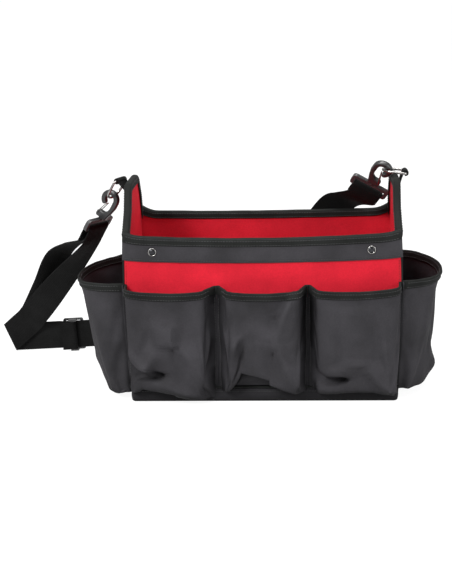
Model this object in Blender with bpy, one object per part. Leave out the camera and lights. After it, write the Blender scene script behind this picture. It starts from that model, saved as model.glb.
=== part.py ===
"""Open-topped garden tool bag: a boarded fabric box with eight outside pockets and a shoulder strap.

Lengths are in millimetres and become metres once, where a mesh is made. +Z is up, +X is to the
right along the bag and -Y is the front. The origin is the centre of the underside of the base.
"""
import math

import bmesh
import bpy
from mathutils import Matrix, Vector

MM = 0.001
GAP = 0.3                # running gap between pieces that touch

# Bag body
LENGTH = 420.0           # outside of the base, along X
DEPTH = 220.0            # outside of the base, along Y
RIM_HEIGHT = 268.0       # top of the front and back walls
PEAK_HEIGHT = 340.0      # top of the end walls
LONG_WALL_LEAN = 12.5    # how far the front and back walls lean in at the rim
END_WALL_FLARE = 5.0     # how far the end walls flare out at the peak
BASE_UPSTAND = 22.0
BASE_WALL = 2.0
BASE_FLOOR = 3.0
OUTER_FABRIC = 1.5
BOARD = 2.5
LINING = 1.2
BINDING = 1.0            # thickness of folded binding tape
BINDING_WIDTH = 12.5
TOP_BAND_HEIGHT = 40.0
PIPING_RADIUS = 1.5
GABLE_TOP_HALF = 34.0    # half width of the flat top of an end wall
GABLE_RADIUS = 22.0

# Pockets
POCKET_WALL = 1.6
POCKET_SEAM_Z = 28.0
POCKET_RIM_Z = 191.0
LONG_POCKET_WIDTHS = (132.0, 134.0, 132.0)
LONG_POCKET_CENTRES = (-140.0, 0.0, 140.0)
END_POCKET_WIDTH = 196.0
# depth of the pocket and height, from the sewn bottom edge, round the belly, to the rim
LONG_POCKET_PROFILE = ((9, 27), (20, 19), (29, 20), (33, 34), (34, 80), (34, 135), (35, 172), (35, 191))
LEFT_POCKET_PROFILE = (
    (20, 25), (40, 20), (52, 14), (59, 16), (64, 34), (69, 78), (75, 130), (80, 172), (82.5, 191),
)
RIGHT_POCKET_PROFILE = (
    (22, 25), (44, 20), (56, 16), (64, 20), (65, 38), (62, 80), (61, 125), (66, 172), (68.5, 191),
)
STUD_DIAMETER = 13.5
STUD_X = 168.0
STUD_Z = 244.0

# Webbing and its hardware
WEBBING = 50.0
WEBBING_THICK = 2.0
RING_WIRE = 2.0          # radius
RING_HALF_WIDTH = 17.0   # centre line of the ring's arms
RING_DEPTH = 35.0        # from the bar to the middle of the bow
TAB_WIDTH = 24.0
TAB_THICK = 3.2
HOOK_THICK = 9.0
HOOK_EYE = 7.5           # inner radius of the hook's bow
HOOK_BAND = 8.5
HOOK_EYE_CENTRE = 50.0   # from the middle of the swivel's slot
HOOK_SHOULDER = 13.0     # underside of the hook's shoulder
GATE_WIRE = 0.8          # radius
GATE_PIVOT = (9.0, 18.0)
GATE_TOP = (1.9, 40.0)
SWIVEL_PIN = 2.5         # radius
SWIVEL_WIDTH = 64.0
SWIVEL_THICK = 6.0
SWIVEL_BAR = 5.0
SWIVEL_BAR_CENTRE = -7.0
LOOP_RADIUS = 5.3        # middle of the webbing, round the swivel's bar

# Left ring: pivot, the direction it pulls to, and how far it and its hook lean from hanging straight
LEFT_PIVOT = Vector((-227.5, 0.0, 337.0))
LEFT_PULL = Vector((-0.906, 0.423, 0.0)).normalized()
LEFT_RING_LEAN = 33.0
LEFT_HOOK_LEAN = 33.0
LEFT_SWIVEL_TURN = -4.0
LEFT_SEAT = (0.0, 53.8)  # where the ring's wire sits in the hook: across it and along it
LEFT_REACH = 118.0       # webbing nearer to the pivot than this moves with the hook
# Right ring: it lies over the top of the end wall, and its hook reaches back to the strap
RIGHT_PIVOT = Vector((225.5, 0.0, 343.5))
RIGHT_RING_RISE = 7.0
RIGHT_HOOK_AXIS = Vector((0.385, -0.63, 0.675)).normalized()
RIGHT_SEAT = (0.8, 49.5)
RIGHT_REACH = 98.0

# Strap route behind the bag
FOLD = Vector((-461.0, 148.0, 27.4))
FOLD_LINE = Vector((0.37, 0.0, -0.929)).normalized()
STRAP_RISE = 2.6         # degrees that the run after the fold climbs to the slider
RETURN_RADIUS = 1.6
MAIN_RADIUS = 4.2
FOLD_HALF = 40.0         # flat webbing each side of the fold
SLIDER_RUN = 118.0       # from the fold to the middle of the slider
SLIDER_HEIGHT = 58.0
SLIDER_LENGTH = 36.0
SLIDER_TRAVEL = 20.0
STRAP_ROUTE = (          # centre of the webbing, and the direction across it
    ((-220, 154, 31), (0.05, 0, -1)),
    ((-150, 156.5, 33), (0.15, 0, -0.99)),
    ((-50, 157, 62), (0.5, 0, -0.87)),
    ((25, 155, 130), (0.7, 0, -0.71)),
    ((78, 146, 212), (0.78, 0, -0.63)),
    ((112, 124, 262), (0.84, 0, -0.54)),
    ((139, 97, 285), (0.88, -0.05, -0.47)),
)

MATERIALS = {            # colour, roughness, metallic
    "red_fabric": ((0.62, 0.012, 0.025), 0.8, 0.0),
    "black_fabric": ((0.032, 0.030, 0.035), 0.8, 0.0),
    "binding": ((0.028, 0.030, 0.029), 0.75, 0.0),
    "board": ((0.25, 0.24, 0.22), 0.9, 0.0),
    "webbing": ((0.012, 0.012, 0.012), 0.85, 0.0),
    "hook_plastic": ((0.02, 0.02, 0.02), 0.4, 0.0),
    "nickel": ((0.75, 0.73, 0.70), 0.25, 1.0),
    "gunmetal": ((0.18, 0.18, 0.19), 0.3, 1.0),
}


def material(name):
    made = bpy.data.materials.get(name)
    if made is None:
        colour, roughness, metallic = MATERIALS[name]
        made = bpy.data.materials.new(name)
        made.use_nodes = True
        shader = made.node_tree.nodes["Principled BSDF"]
        shader.inputs["Base Color"].default_value = (*colour, 1.0)
        shader.inputs["Roughness"].default_value = roughness
        shader.inputs["Metallic"].default_value = metallic
    return made


def add_mesh(name, points, faces, material_name, smooth=False):
    """An object from points in millimetres, with its faces turned outward."""
    mesh = bpy.data.meshes.new(name)
    mesh.from_pydata([Vector(p) * MM for p in points], [], faces)
    tidy = bmesh.new()
    tidy.from_mesh(mesh)
    bmesh.ops.remove_doubles(tidy, verts=tidy.verts, dist=0.00001)
    bmesh.ops.recalc_face_normals(tidy, faces=tidy.faces)
    tidy.to_mesh(mesh)
    tidy.free()
    if smooth:
        mesh.shade_smooth()
        mesh.set_sharp_from_angle(angle=math.radians(35))
    mesh.materials.append(material(material_name))
    made = bpy.data.objects.new(name, mesh)
    bpy.context.scene.collection.objects.link(made)
    return made


def skin(loops, ring=False):
    """Points and faces of a solid skinned over closed loops, capped unless the loops go round a ring."""
    count = len(loops[0])
    points = [p for loop in loops for p in loop]
    faces = []
    spans = len(loops) if ring else len(loops) - 1
    for i in range(spans):
        a = i * count
        b = ((i + 1) % len(loops)) * count
        for j in range(count):
            k = (j + 1) % count
            faces.append((a + j, a + k, b + k, b + j))
    if not ring:
        faces.append(tuple(range(count)))
        last = (len(loops) - 1) * count
        faces.append(tuple(last + j for j in reversed(range(count))))
    return points, faces


def shell(outer, inner):
    """Points and faces of a sheet with thickness, from two grids of rows of points."""
    rows, columns = len(outer), len(outer[0])
    points = [p for row in outer for p in row] + [p for row in inner for p in row]
    half = rows * columns
    faces = []
    for i in range(rows - 1):
        for j in range(columns - 1):
            a = i * columns + j
            quad = (a, a + 1, a + columns + 1, a + columns)
            faces.append(quad)
            faces.append(tuple(half + q for q in reversed(quad)))
    for i in range(rows - 1):
        for j in (0, columns - 1):
            a = i * columns + j
            faces.append((a, a + columns, half + a + columns, half + a))
    for j in range(columns - 1):
        for i in (0, rows - 1):
            a = i * columns + j
            faces.append((a, a + 1, half + a + 1, half + a))
    return points, faces


def prism(outline, low, high, place):
    """A solid between two levels of an outline. place(u, v, level) gives the point."""
    return skin([[place(u, v, level) for u, v in outline] for level in (low, high)])


def tube(path, radius, sides, ring=False, across=Vector((0, 0, 1))):
    """A round bar along a path that stays off the direction across."""
    loops = []
    for i, p in enumerate(path):
        before = path[i - 1] if ring or i else path[i]
        after = path[(i + 1) % len(path)] if ring or i + 1 < len(path) else path[i]
        along = (after - before).normalized()
        side = along.cross(across).normalized()
        up = side.cross(along)
        loops.append([
            p + (side * math.cos(t) + up * math.sin(t)) * radius
            for t in (2 * math.pi * k / sides for k in range(sides))
        ])
    return skin(loops, ring)


def arc(centre, radius, start, end, steps):
    """Points of a flat arc, angles in degrees."""
    found = []
    for k in range(steps + 1):
        t = math.radians(start + (end - start) * k / steps)
        found.append((centre[0] + radius * math.cos(t), centre[1] + radius * math.sin(t)))
    return found


# Walls. A wall point is (across, height, outward) from the outer face of one of the four walls.
WALL_Y = DEPTH / 2 - BASE_WALL - GAP
WALL_X = LENGTH / 2 - BASE_WALL - GAP - END_WALL_FLARE * BASE_UPSTAND / PEAK_HEIGHT
WALL_BOTTOM = BASE_FLOOR + GAP
WALL_TOP = RIM_HEIGHT - BINDING - GAP
BOARD_FACE = OUTER_FABRIC + GAP
LINING_FACE = BOARD_FACE + BOARD + GAP
WALL_THICK = LINING_FACE + LINING
LAYERS = (
    ("panel", "outer", 0.0, OUTER_FABRIC),
    ("board", "board", BOARD_FACE, BOARD_FACE + BOARD),
    ("lining", "red_fabric", LINING_FACE, WALL_THICK),
)


def long_wall_y(height):
    return WALL_Y - LONG_WALL_LEAN * height / RIM_HEIGHT


def end_wall_x(height):
    return WALL_X + END_WALL_FLARE * height / PEAK_HEIGHT


def on_wall(side):
    """The function that turns (across, height, outward) on a wall into a point."""
    if side == "front":
        return lambda a, h, d: Vector((a, -long_wall_y(h) - d, h))
    if side == "back":
        return lambda a, h, d: Vector((-a, long_wall_y(h) + d, h))
    if side == "right":
        return lambda a, h, d: Vector((end_wall_x(h) + d, a, h))
    return lambda a, h, d: Vector((-end_wall_x(h) - d, -a, h))


def long_wall_outline():
    low, high = end_wall_x(WALL_BOTTOM), end_wall_x(WALL_TOP)
    return [(-low, WALL_BOTTOM), (low, WALL_BOTTOM), (high, WALL_TOP), (-high, WALL_TOP)]


def gable_half(height):
    """Half width of an end wall below the rim: it fits between the long walls and their bindings."""
    return long_wall_y(height) - WALL_THICK - BINDING - 2 * GAP


def gable_edge():
    """The free edge of an end wall, from the rim at one side over the peak to the other."""
    top = PEAK_HEIGHT - BINDING - GAP
    start = (gable_half(WALL_TOP), WALL_TOP)
    corner = (GABLE_TOP_HALF + 12.0, top)
    slope = math.degrees(math.atan2(corner[1] - start[1], corner[0] - start[0]))
    turn = 180.0 - slope
    reach = GABLE_RADIUS * math.tan(math.radians(turn / 2))
    centre = (corner[0] - reach, top - GABLE_RADIUS)
    right = [start, *arc(centre, GABLE_RADIUS, slope - 90.0, 90.0, 6)]
    return right + [(-a, h) for a, h in reversed(right)]


def bound_edge():
    """The stretch of a gable's edge that is bound: it starts just clear of the long walls' rims."""
    edge = gable_edge()
    (a, h), (b, k) = edge[0], edge[1]
    share = (RIM_HEIGHT + 3 * GAP - h) / (k - h)
    start = (a + (b - a) * share, h + (k - h) * share)
    return [start, *edge[1:-1], (-start[0], start[1])]


def build_walls():
    for side in ("front", "back", "left", "right"):
        place = on_wall(side)
        ends = side in ("left", "right")
        if ends:
            foot = gable_half(WALL_BOTTOM)
            outline = [(-foot, WALL_BOTTOM), (foot, WALL_BOTTOM), *gable_edge()]
        else:
            outline = long_wall_outline()
        label = f"{side}_end" if ends else side
        for layer, kind, near, far in LAYERS:
            colour = "red_fabric" if kind == "outer" else kind
            add_mesh(f"{label}_{layer}", *prism(outline, -far, -near, place), colour)


def rim_section():
    """Folded tape over the top of a long wall, as (outward, height) points."""
    outside, inside = OUTER_FABRIC + GAP, -WALL_THICK - GAP
    low, inner_top = RIM_HEIGHT - BINDING_WIDTH, RIM_HEIGHT - BINDING
    return [
        (outside, low), (outside + BINDING, low), (outside + BINDING, RIM_HEIGHT),
        (inside - BINDING, RIM_HEIGHT), (inside - BINDING, low), (inside, low),
        (inside, inner_top), (outside, inner_top),
    ]


def build_rims():
    for side in ("front", "back"):
        place = on_wall(side)
        reach = end_wall_x(RIM_HEIGHT - TOP_BAND_HEIGHT)
        band = [
            (-reach, RIM_HEIGHT - TOP_BAND_HEIGHT), (reach, RIM_HEIGHT - TOP_BAND_HEIGHT),
            (reach, WALL_TOP), (-reach, WALL_TOP),
        ]
        made = add_mesh(f"{side}_top_band", *prism(band, GAP, OUTER_FABRIC, place), "black_fabric")
        if side == "front":
            cut_stud_holes(made, place)
        loops = [[place(a, h, d) for d, h in rim_section()] for a in (-reach, reach)]
        add_mesh(f"{side}_rim_binding", *skin(loops), "binding")
    for side in ("left", "right"):
        place = on_wall(side)
        edge = bound_edge()
        loops = []
        for i, (a, h) in enumerate(edge):
            before, after = edge[max(i - 1, 0)], edge[min(i + 1, len(edge) - 1)]
            along = Vector((after[0] - before[0], after[1] - before[1])).normalized()
            out = Vector((along.y, -along.x))
            deep = BINDING_WIDTH - BINDING
            loops.append([
                place(a + out.x * o, h + out.y * o, d)
                for o, d in (
                    (-deep, GAP), (-deep, GAP + BINDING), (GAP + BINDING, GAP + BINDING),
                    (GAP + BINDING, -WALL_THICK - GAP - BINDING), (-deep, -WALL_THICK - GAP - BINDING),
                    (-deep, -WALL_THICK - GAP), (GAP, -WALL_THICK - GAP), (GAP, GAP),
                )
            ])
        add_mesh(f"{side}_end_binding", *skin(loops), "binding")


def stud_place(place, x):
    """The frame of a stud on a wall: origin on the top band's face, third axis outward."""
    face = OUTER_FABRIC
    origin = place(x, STUD_Z, face)
    out = (place(x, STUD_Z, face + 1) - origin).normalized()
    across = Vector((1, 0, 0))
    return lambda u, v, level: origin + across * u + out.cross(across) * v + out * level


def cut_stud_holes(band, place):
    for i, x in enumerate((-STUD_X, STUD_X)):
        frame = stud_place(place, x)
        circle = arc((0, 0), 2.5 + GAP, 0, 360, 16)[:-1]
        cutter = add_mesh(f"stud_hole_cutter_{i}", *prism(circle, -1.6, 3.0, frame), "binding")
        cutter.hide_render = True
        cutter.display_type = "WIRE"
        cut = band.modifiers.new(f"stud_hole_{i}", "BOOLEAN")
        cut.operation = "DIFFERENCE"
        cut.solver = "EXACT"
        cut.object = cutter


def build_studs():
    """Press studs: a domed cap on the band's face, and its post through the band."""
    cap = STUD_DIAMETER / 2
    profile = (
        (2.5, -1.1), (2.5, GAP), (cap - 0.6, GAP), (cap, 0.9), (cap - 0.3, 1.7), (cap - 1.6, 2.5),
        (cap - 2.6, 2.3), (cap - 3.6, 2.6), (1.6, 3.2),
    )
    for label, x in (("left", -STUD_X), ("right", STUD_X)):
        frame = stud_place(on_wall("front"), x)
        loops = [[frame(u, v, level) for u, v in arc((0, 0), r, 0, 360, 20)[:-1]] for r, level in profile]
        add_mesh(f"front_{label}_stud", *skin(loops), "gunmetal", smooth=True)


def build_base():
    half_x, half_y, corner = LENGTH / 2, DEPTH / 2, 3.0
    ring = []
    for cx, cy, start in ((1, 1, 0), (-1, 1, 90), (-1, -1, 180), (1, -1, 270)):
        ring += arc((cx * (half_x - corner), cy * (half_y - corner)), corner, start, start + 90, 3)
    inner_x, inner_y = half_x - BASE_WALL, half_y - BASE_WALL
    inner = []
    for cx, cy in ((1, 1), (-1, 1), (-1, -1), (1, -1)):
        inner += [(cx * inner_x, cy * inner_y)] * 4
    levels = []
    for outline, z in ((ring, 0), (ring, BASE_UPSTAND), (inner, BASE_UPSTAND), (inner, BASE_FLOOR)):
        levels.append([Vector((x, y, z)) for x, y in outline])
    add_mesh("base_tray", *skin(levels), "black_fabric")

    board_x = end_wall_x(0) - WALL_THICK - 2 * GAP
    board_y = long_wall_y(2 * BASE_FLOOR) - WALL_THICK - 2 * GAP
    corners = [(-board_x, -board_y), (board_x, -board_y), (board_x, board_y), (-board_x, board_y)]
    top = WALL_BOTTOM + BASE_FLOOR
    add_mesh("base_board", *prism(corners, WALL_BOTTOM, top, lambda u, v, z: Vector((u, v, z))), "red_fabric")

    path = []
    for cx, cy, start in ((1, 1, 0), (-1, 1, 90), (-1, -1, 180), (1, -1, 270)):
        for x, y in arc((cx * (half_x - 1.8), cy * (half_y - 2.8)), 1.6, start, start + 90, 4):
            path.append(Vector((x, y, BASE_UPSTAND + PIPING_RADIUS + 2 * GAP)))
    add_mesh("base_piping", *tube(path, PIPING_RADIUS, 8, ring=True), "binding", smooth=True)


def pocket_curve(width, depth, power, steps=16):
    """Half of a squared oval seen from above, from one seam round the pocket's face to the other."""
    points = []
    for k in range(steps + 1):
        t = math.pi * k / steps
        c, s = math.cos(t), math.sin(t)
        points.append((
            -math.copysign(abs(c) ** (2 / power), c) * width / 2,
            abs(s) ** (2 / power) * depth,
        ))
    points[0], points[-1] = (-width / 2, 0.0), (width / 2, 0.0)
    return points


def build_pocket(name, place, centre, width, profile, powers):
    """A pocket is one sheet sewn to its wall along its sides and bottom and open at the top."""
    def hang(row, depth, height):
        seam = POCKET_SEAM_Z + 0.5 * row
        return seam + (height - seam) * min(1.0, max(0.0, depth - 7) / 4) if height < seam else height

    outer = [[place(centre + a, POCKET_SEAM_Z, GAP) for a, _ in pocket_curve(width, 1, powers[0])]]
    inner = [[place(centre + a * (1 - 2 * POCKET_WALL / width), POCKET_SEAM_Z + POCKET_WALL, GAP)
              for a, _ in pocket_curve(width, 1, powers[0])]]
    top = profile[-1][1]
    for row, (depth, z) in enumerate(profile):
        share = (z - profile[0][1]) / (profile[-2][1] - profile[0][1])
        power = powers[0] + (powers[1] - powers[0]) * min(1.0, max(0.0, share))
        lift = POCKET_WALL * min(1.0, max(0.0, (60 - z) / 20))
        curve = pocket_curve(width, depth, power)
        outer.append([place(centre + a, hang(row, d, z), GAP + d) for a, d in curve])
        narrow = pocket_curve(width - 2 * POCKET_WALL, depth - POCKET_WALL, power)
        inner.append([place(centre + b, hang(row, d, z) + lift, GAP + e)
                      for (_, d), (b, e) in zip(curve, narrow)])
    add_mesh(name, *shell(outer, inner), "black_fabric", smooth=True)

    rim = pocket_curve(width, profile[-1][0], powers[1])
    loops = []
    for i, (a, d) in enumerate(rim):
        before, after = rim[max(i - 1, 0)], rim[min(i + 1, len(rim) - 1)]
        along = Vector((after[0] - before[0], after[1] - before[1])).normalized()
        out = Vector((-along.y, along.x))
        if i in (0, len(rim) - 1):
            out = Vector((-1, 0)) if i == 0 else Vector((1, 0))
        lip = -POCKET_WALL * 0.8
        section = (
            (GAP, -BINDING_WIDTH), (GAP + BINDING, -BINDING_WIDTH), (GAP + BINDING, GAP + BINDING),
            (lip, GAP + BINDING), (lip, GAP), (GAP, GAP),
        )
        loops.append([
            place(centre + a + out.x * o, top + h, GAP + max(0.0, d + out.y * o)) for o, h in section
        ])
    add_mesh(f"{name}_binding", *skin(loops), "binding", smooth=True)


def build_pockets():
    for side in ("front", "back"):
        place = on_wall(side)
        for label, centre, width in zip(("left", "centre", "right"), LONG_POCKET_CENTRES, LONG_POCKET_WIDTHS):
            across = centre if side == "front" else -centre
            build_pocket(f"{side}_{label}_pocket", place, across, width, LONG_POCKET_PROFILE, (4.0, 3.0))
    build_pocket("left_end_pocket", on_wall("left"), 0, END_POCKET_WIDTH, LEFT_POCKET_PROFILE, (3.6, 2.3))
    build_pocket("right_end_pocket", on_wall("right"), 0, END_POCKET_WIDTH, RIGHT_POCKET_PROFILE, (3.6, 2.3))


# Rings and hooks


def turned(vector, axis, degrees):
    return Matrix.Rotation(math.radians(degrees), 3, axis) @ vector


class Hardware:
    """Where one side's ring, hook and swivel are at rest."""

    def __init__(self, pivot, pull, axis, ring_way, hook_axis, ring_seat, bow_side, bar_way):
        self.pivot, self.pull, self.axis = pivot, pull, axis
        self.ring_way = ring_way          # from the ring's bar to its bow
        self.hook_axis = hook_axis        # from the swivel to the hook's nose
        flat = axis - hook_axis * axis.dot(hook_axis)
        self.hook_normal = flat.normalized()
        self.hook_across = self.hook_normal.cross(hook_axis) * bow_side
        across_seat, along_seat = ring_seat
        self.slot = (pivot + ring_way * RING_DEPTH - self.hook_across * across_seat
                     - hook_axis * along_seat)
        self.bar_way = bar_way            # across the webbing
        self.bar_normal = bar_way.cross(hook_axis).normalized()
        self.gate_axis = self.hook_across.cross(hook_axis)

    def hook_point(self, w, height, n):
        return self.slot + self.hook_across * w + self.hook_axis * height + self.hook_normal * n

    def bar_point(self, w, height, n):
        return self.slot + self.bar_way * w + self.hook_axis * height + self.bar_normal * n


def left_hardware():
    down = Vector((0, 0, -1))
    ring_lean, hook_lean = math.radians(LEFT_RING_LEAN), math.radians(LEFT_HOOK_LEAN)
    ring_way = LEFT_PULL * math.sin(ring_lean) + down * math.cos(ring_lean)
    hook_axis = -(LEFT_PULL * math.sin(hook_lean) + down * math.cos(hook_lean))
    axis = Vector((-LEFT_PULL.y, LEFT_PULL.x, 0)) * -1
    bar_way = turned(axis, hook_axis, LEFT_SWIVEL_TURN)
    return Hardware(LEFT_PIVOT, LEFT_PULL, axis, ring_way, hook_axis, LEFT_SEAT, -1, bar_way)


def right_hardware():
    rise = math.radians(RIGHT_RING_RISE)
    ring_way = Vector((-math.cos(rise), 0, math.sin(rise)))
    axis = Vector((0, 1, 0))
    hook_axis = RIGHT_HOOK_AXIS
    flat = (axis - hook_axis * axis.dot(hook_axis)).normalized()
    return Hardware(RIGHT_PIVOT, Vector((1, 0, 0)), axis, ring_way, hook_axis, RIGHT_SEAT, 1,
                    flat.cross(hook_axis))


def build_ring(name, hw):
    corner, half = 3.0, RING_HALF_WIDTH
    bow_centre = RING_DEPTH - half
    flat = arc((half - corner, corner), corner, -90, 0, 3)
    flat += arc((0, bow_centre), half, 0, 180, 12)
    flat += arc((-half + corner, corner), corner, 180, 270, 3)
    flat += [(-4.0, 0.0), (4.0, 0.0)]
    path = [hw.pivot + hw.axis * u + hw.ring_way * v for u, v in flat]
    add_mesh(name, *tube(path, RING_WIRE, 10, True, hw.axis.cross(hw.ring_way)), "nickel", smooth=True)


def build_tab(name, hw, wall_out):
    """A webbing loop: its tail lies down the end wall and its roll goes round the ring's bar."""
    roll = RING_WIRE + 0.4 + TAB_THICK / 2
    reach = abs(hw.pivot.x) - end_wall_x(hw.pivot.z)
    tail = BINDING + 2 * GAP + TAB_THICK / 2
    path = [(tail, -42.0), (tail, -30.0), (tail, -18.0), ((tail + reach - roll) / 2, -8.0)]
    path += [(reach + roll * math.cos(t), roll * math.sin(t))
             for t in (math.radians(190 - 33.75 * k) for k in range(9))]
    loops = []
    for i, (u, z) in enumerate(path):
        before, after = path[max(i - 1, 0)], path[min(i + 1, len(path) - 1)]
        share = min(1.0, max(0.0, (i - 2) / 2))
        out = wall_out.lerp(hw.pull, share).normalized()
        across = Vector((0, 1, 0)).lerp(hw.axis, share).normalized()
        along = Vector((after[0] - before[0], after[1] - before[1])).normalized()
        side = Vector((along.y, -along.x)) * TAB_THICK / 2
        row = []
        for sign, v in ((1, -1), (1, 1), (-1, 1), (-1, -1)):
            point = hw.pivot + out * (u - reach + side.x * sign) + Vector((0, 0, z + side.y * sign))
            row.append(point + across * v * TAB_WIDTH / 2)
        loops.append(row)
    add_mesh(name, *skin(loops), "webbing")


def hook_outline():
    """The hook from the side, from its shoulder up the spine and round the bow to the tip."""
    centre, inner, outer = HOOK_EYE_CENTRE, HOOK_EYE, HOOK_EYE + HOOK_BAND
    middle, half = (inner + outer) / 2, HOOK_BAND / 2
    tip = -50.0
    c, s = math.cos(math.radians(tip)), math.sin(math.radians(tip))
    points = [(-9.0, HOOK_SHOULDER), (9.0, HOOK_SHOULDER), (11.0, 15.0), (11.0, 21.0), (8.5, 24.0)]
    points += [(-1.0, 25.0), (-5.5, 29.0), (-inner, 36.0)]
    points += arc((0, centre), inner, 180, tip, 14)
    points += arc((middle * c, centre + middle * s), half, tip - 180, tip, 5)[1:-1]
    points += arc((0, centre), outer, tip, 180, 14)
    points += [(-outer, 40.0), (-13.0, 27.0), (-10.5, 20.0)]
    return points


def build_hook(name, hw):
    body = add_mesh(name, *prism(hook_outline(), -HOOK_THICK / 2, HOOK_THICK / 2, hw.hook_point),
                    "hook_plastic", smooth=True)
    edge = body.modifiers.new("rounded_edges", "BEVEL")
    edge.width = 1.2 * MM
    edge.segments = 1
    edge.limit_method = "ANGLE"
    edge.angle_limit = math.radians(60)
    circle = arc((0, 0), SWIVEL_PIN + GAP, 0, 360, 16)[:-1]
    bore = add_mesh(f"{name}_bore_cutter", *prism(
        circle, HOOK_SHOULDER - 3, HOOK_SHOULDER + 8, lambda u, v, t: hw.hook_point(u, t, v)), "nickel")
    bore.hide_render = True
    bore.display_type = "WIRE"
    cut = body.modifiers.new("swivel_bore", "BOOLEAN")
    cut.operation = "DIFFERENCE"
    cut.solver = "EXACT"
    cut.object = bore


def build_gate(name, hw):
    """A wire loop that closes the hook's mouth from inside the tip; its legs run outside the hook."""
    leg = HOOK_THICK / 2 + GAP + GATE_WIRE
    (w0, h0), (w1, h1) = GATE_PIVOT, GATE_TOP
    turn = 1.6
    climb = Vector((w1 - w0, h1 - h0)).normalized()
    path = []
    for sign in (-1, 1):
        side = [(w0, h0, leg), (w0 + climb.x * 9, h0 + climb.y * 9, leg),
                (w1 - climb.x * turn, h1 - climb.y * turn, leg), (w1, h1, leg - turn)]
        side = [hw.hook_point(w, h, n * sign) for w, h, n in side]
        path += side if sign < 0 else side[::-1]
    across = (hw.hook_across * climb.y - hw.hook_axis * climb.x).normalized()
    add_mesh(name, *tube(path, GATE_WIRE, 8, False, across), "nickel", smooth=True)


def build_swivel(name, hw):
    """A flat loop for the webbing, with a neck and a pin that turns in the hook's shoulder."""
    half, low, high = SWIVEL_WIDTH / 2, SWIVEL_BAR_CENTRE - SWIVEL_BAR / 2, 11.0
    radius = 5.0
    outside, inside = [], []
    for cx, cy, start in ((half - radius, high - radius, 0), (-half + radius, high - radius, 90),
                          (-half + radius, low + radius, 180), (half - radius, low + radius, 270)):
        outside += arc((cx, cy), radius, start, start + 90, 3)
    slot, under, over = half - 5.5, low + SWIVEL_BAR, 5.0
    for cx, cy, start in ((slot - 1, over - 1, 0), (-slot + 1, over - 1, 90),
                          (-slot + 1, under + 1, 180), (slot - 1, under + 1, 270)):
        inside += arc((cx, cy), 1.0, start, start + 90, 3)
    loops = []
    for outline, n in ((outside, -0.5), (outside, 0.5), (inside, 0.5), (inside, -0.5)):
        loops.append([hw.bar_point(u, v, n * SWIVEL_THICK) for u, v in outline])
    body = add_mesh(name, *skin(loops, ring=True), "hook_plastic")
    profile = ((4.0, high - 3), (4.0, HOOK_SHOULDER - GAP), (SWIVEL_PIN, HOOK_SHOULDER - GAP),
               (SWIVEL_PIN, HOOK_SHOULDER + 7))
    rings = [[hw.bar_point(u, t, v) for u, v in arc((0, 0), r, 0, 360, 16)[:-1]] for r, t in profile]
    pin = add_mesh(f"{name}_pin_shape", *skin(rings), "hook_plastic")
    pin.hide_render = True
    pin.display_type = "WIRE"
    join = body.modifiers.new("pin", "BOOLEAN")
    join.operation = "UNION"
    join.solver = "EXACT"
    join.object = pin


# Webbing


class Run:
    """A smooth stretch of webbing through (centre, across) stations, measured along its length."""

    def __init__(self, stations):
        places = [Vector(p) for p, _ in stations]
        acrosses = [Vector(w).normalized() for _, w in stations]
        spans = [(b - a).length for a, b in zip(places, places[1:])]
        marks = [sum(spans[:i]) for i in range(len(places))]
        slopes = []
        for i in range(len(places)):
            a, b = max(i - 1, 0), min(i + 1, len(places) - 1)
            slopes.append((places[b] - places[a]) / (marks[b] - marks[a]))
        self.places, self.acrosses, self.distances = [], [], [0.0]
        for i, span in enumerate(spans):
            steps = max(2, int(span / 2))
            for k in range(steps + (i == len(spans) - 1)):
                t = k / steps
                a, b = 2 * t ** 3 - 3 * t * t + 1, t ** 3 - 2 * t * t + t
                c, d = 3 * t * t - 2 * t ** 3, t ** 3 - t * t
                self.places.append(places[i] * a + slopes[i] * (b * span)
                                   + places[i + 1] * c + slopes[i + 1] * (d * span))
                self.acrosses.append(acrosses[i].lerp(acrosses[i + 1], t))
        for p, q in zip(self.places, self.places[1:]):
            self.distances.append(self.distances[-1] + (q - p).length)
        self.length = self.distances[-1]

    def point(self, s, v, lift):
        """The point at distance s, v across the webbing and lift above its middle."""
        s = min(max(s, 0.0), self.length)
        low, high = 0, len(self.distances) - 1
        while high - low > 1:
            middle = (low + high) // 2
            if self.distances[middle] <= s:
                low = middle
            else:
                high = middle
        t = (s - self.distances[low]) / (self.distances[high] - self.distances[low])
        along = (self.places[high] - self.places[low]).normalized()
        across = self.acrosses[low].lerp(self.acrosses[high], t)
        across = (across - along * across.dot(along)).normalized()
        place = self.places[low].lerp(self.places[high], t)
        return place + across * v + along.cross(across) * lift


RISE = math.radians(STRAP_RISE)
AFTER_FOLD = Vector((math.cos(RISE), 0, math.sin(RISE)))
AFTER_ACROSS = Vector((math.sin(RISE), 0, -math.cos(RISE)))
BEFORE_FOLD = FOLD_LINE * 2 * FOLD_LINE.dot(AFTER_FOLD) - AFTER_FOLD
BEFORE_ACROSS = FOLD_LINE * 2 * FOLD_LINE.dot(AFTER_ACROSS) - AFTER_ACROSS
FOLD_FORWARD = (BEFORE_FOLD - FOLD_LINE * BEFORE_FOLD.dot(FOLD_LINE)).normalized()
BACKWARD = Vector((0, 1, 0))


def fold_point(s, v, lift, radius):
    """A point of webbing folded over a slanting line: flat, round the fold, and flat again."""
    flat = BEFORE_FOLD * s + BEFORE_ACROSS * v
    q, a = flat.dot(FOLD_FORWARD), flat.dot(FOLD_LINE)
    quarter = math.pi * radius / 2
    place = FOLD + FOLD_LINE * a
    if q < -quarter:
        return place + FOLD_FORWARD * (q + quarter) - BACKWARD * (radius + lift)
    if q > quarter:
        return place - FOLD_FORWARD * (q - quarter) + BACKWARD * (radius + lift)
    t = q / radius
    return place + (FOLD_FORWARD * math.cos(t) + BACKWARD * math.sin(t)) * (radius + lift)


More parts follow.
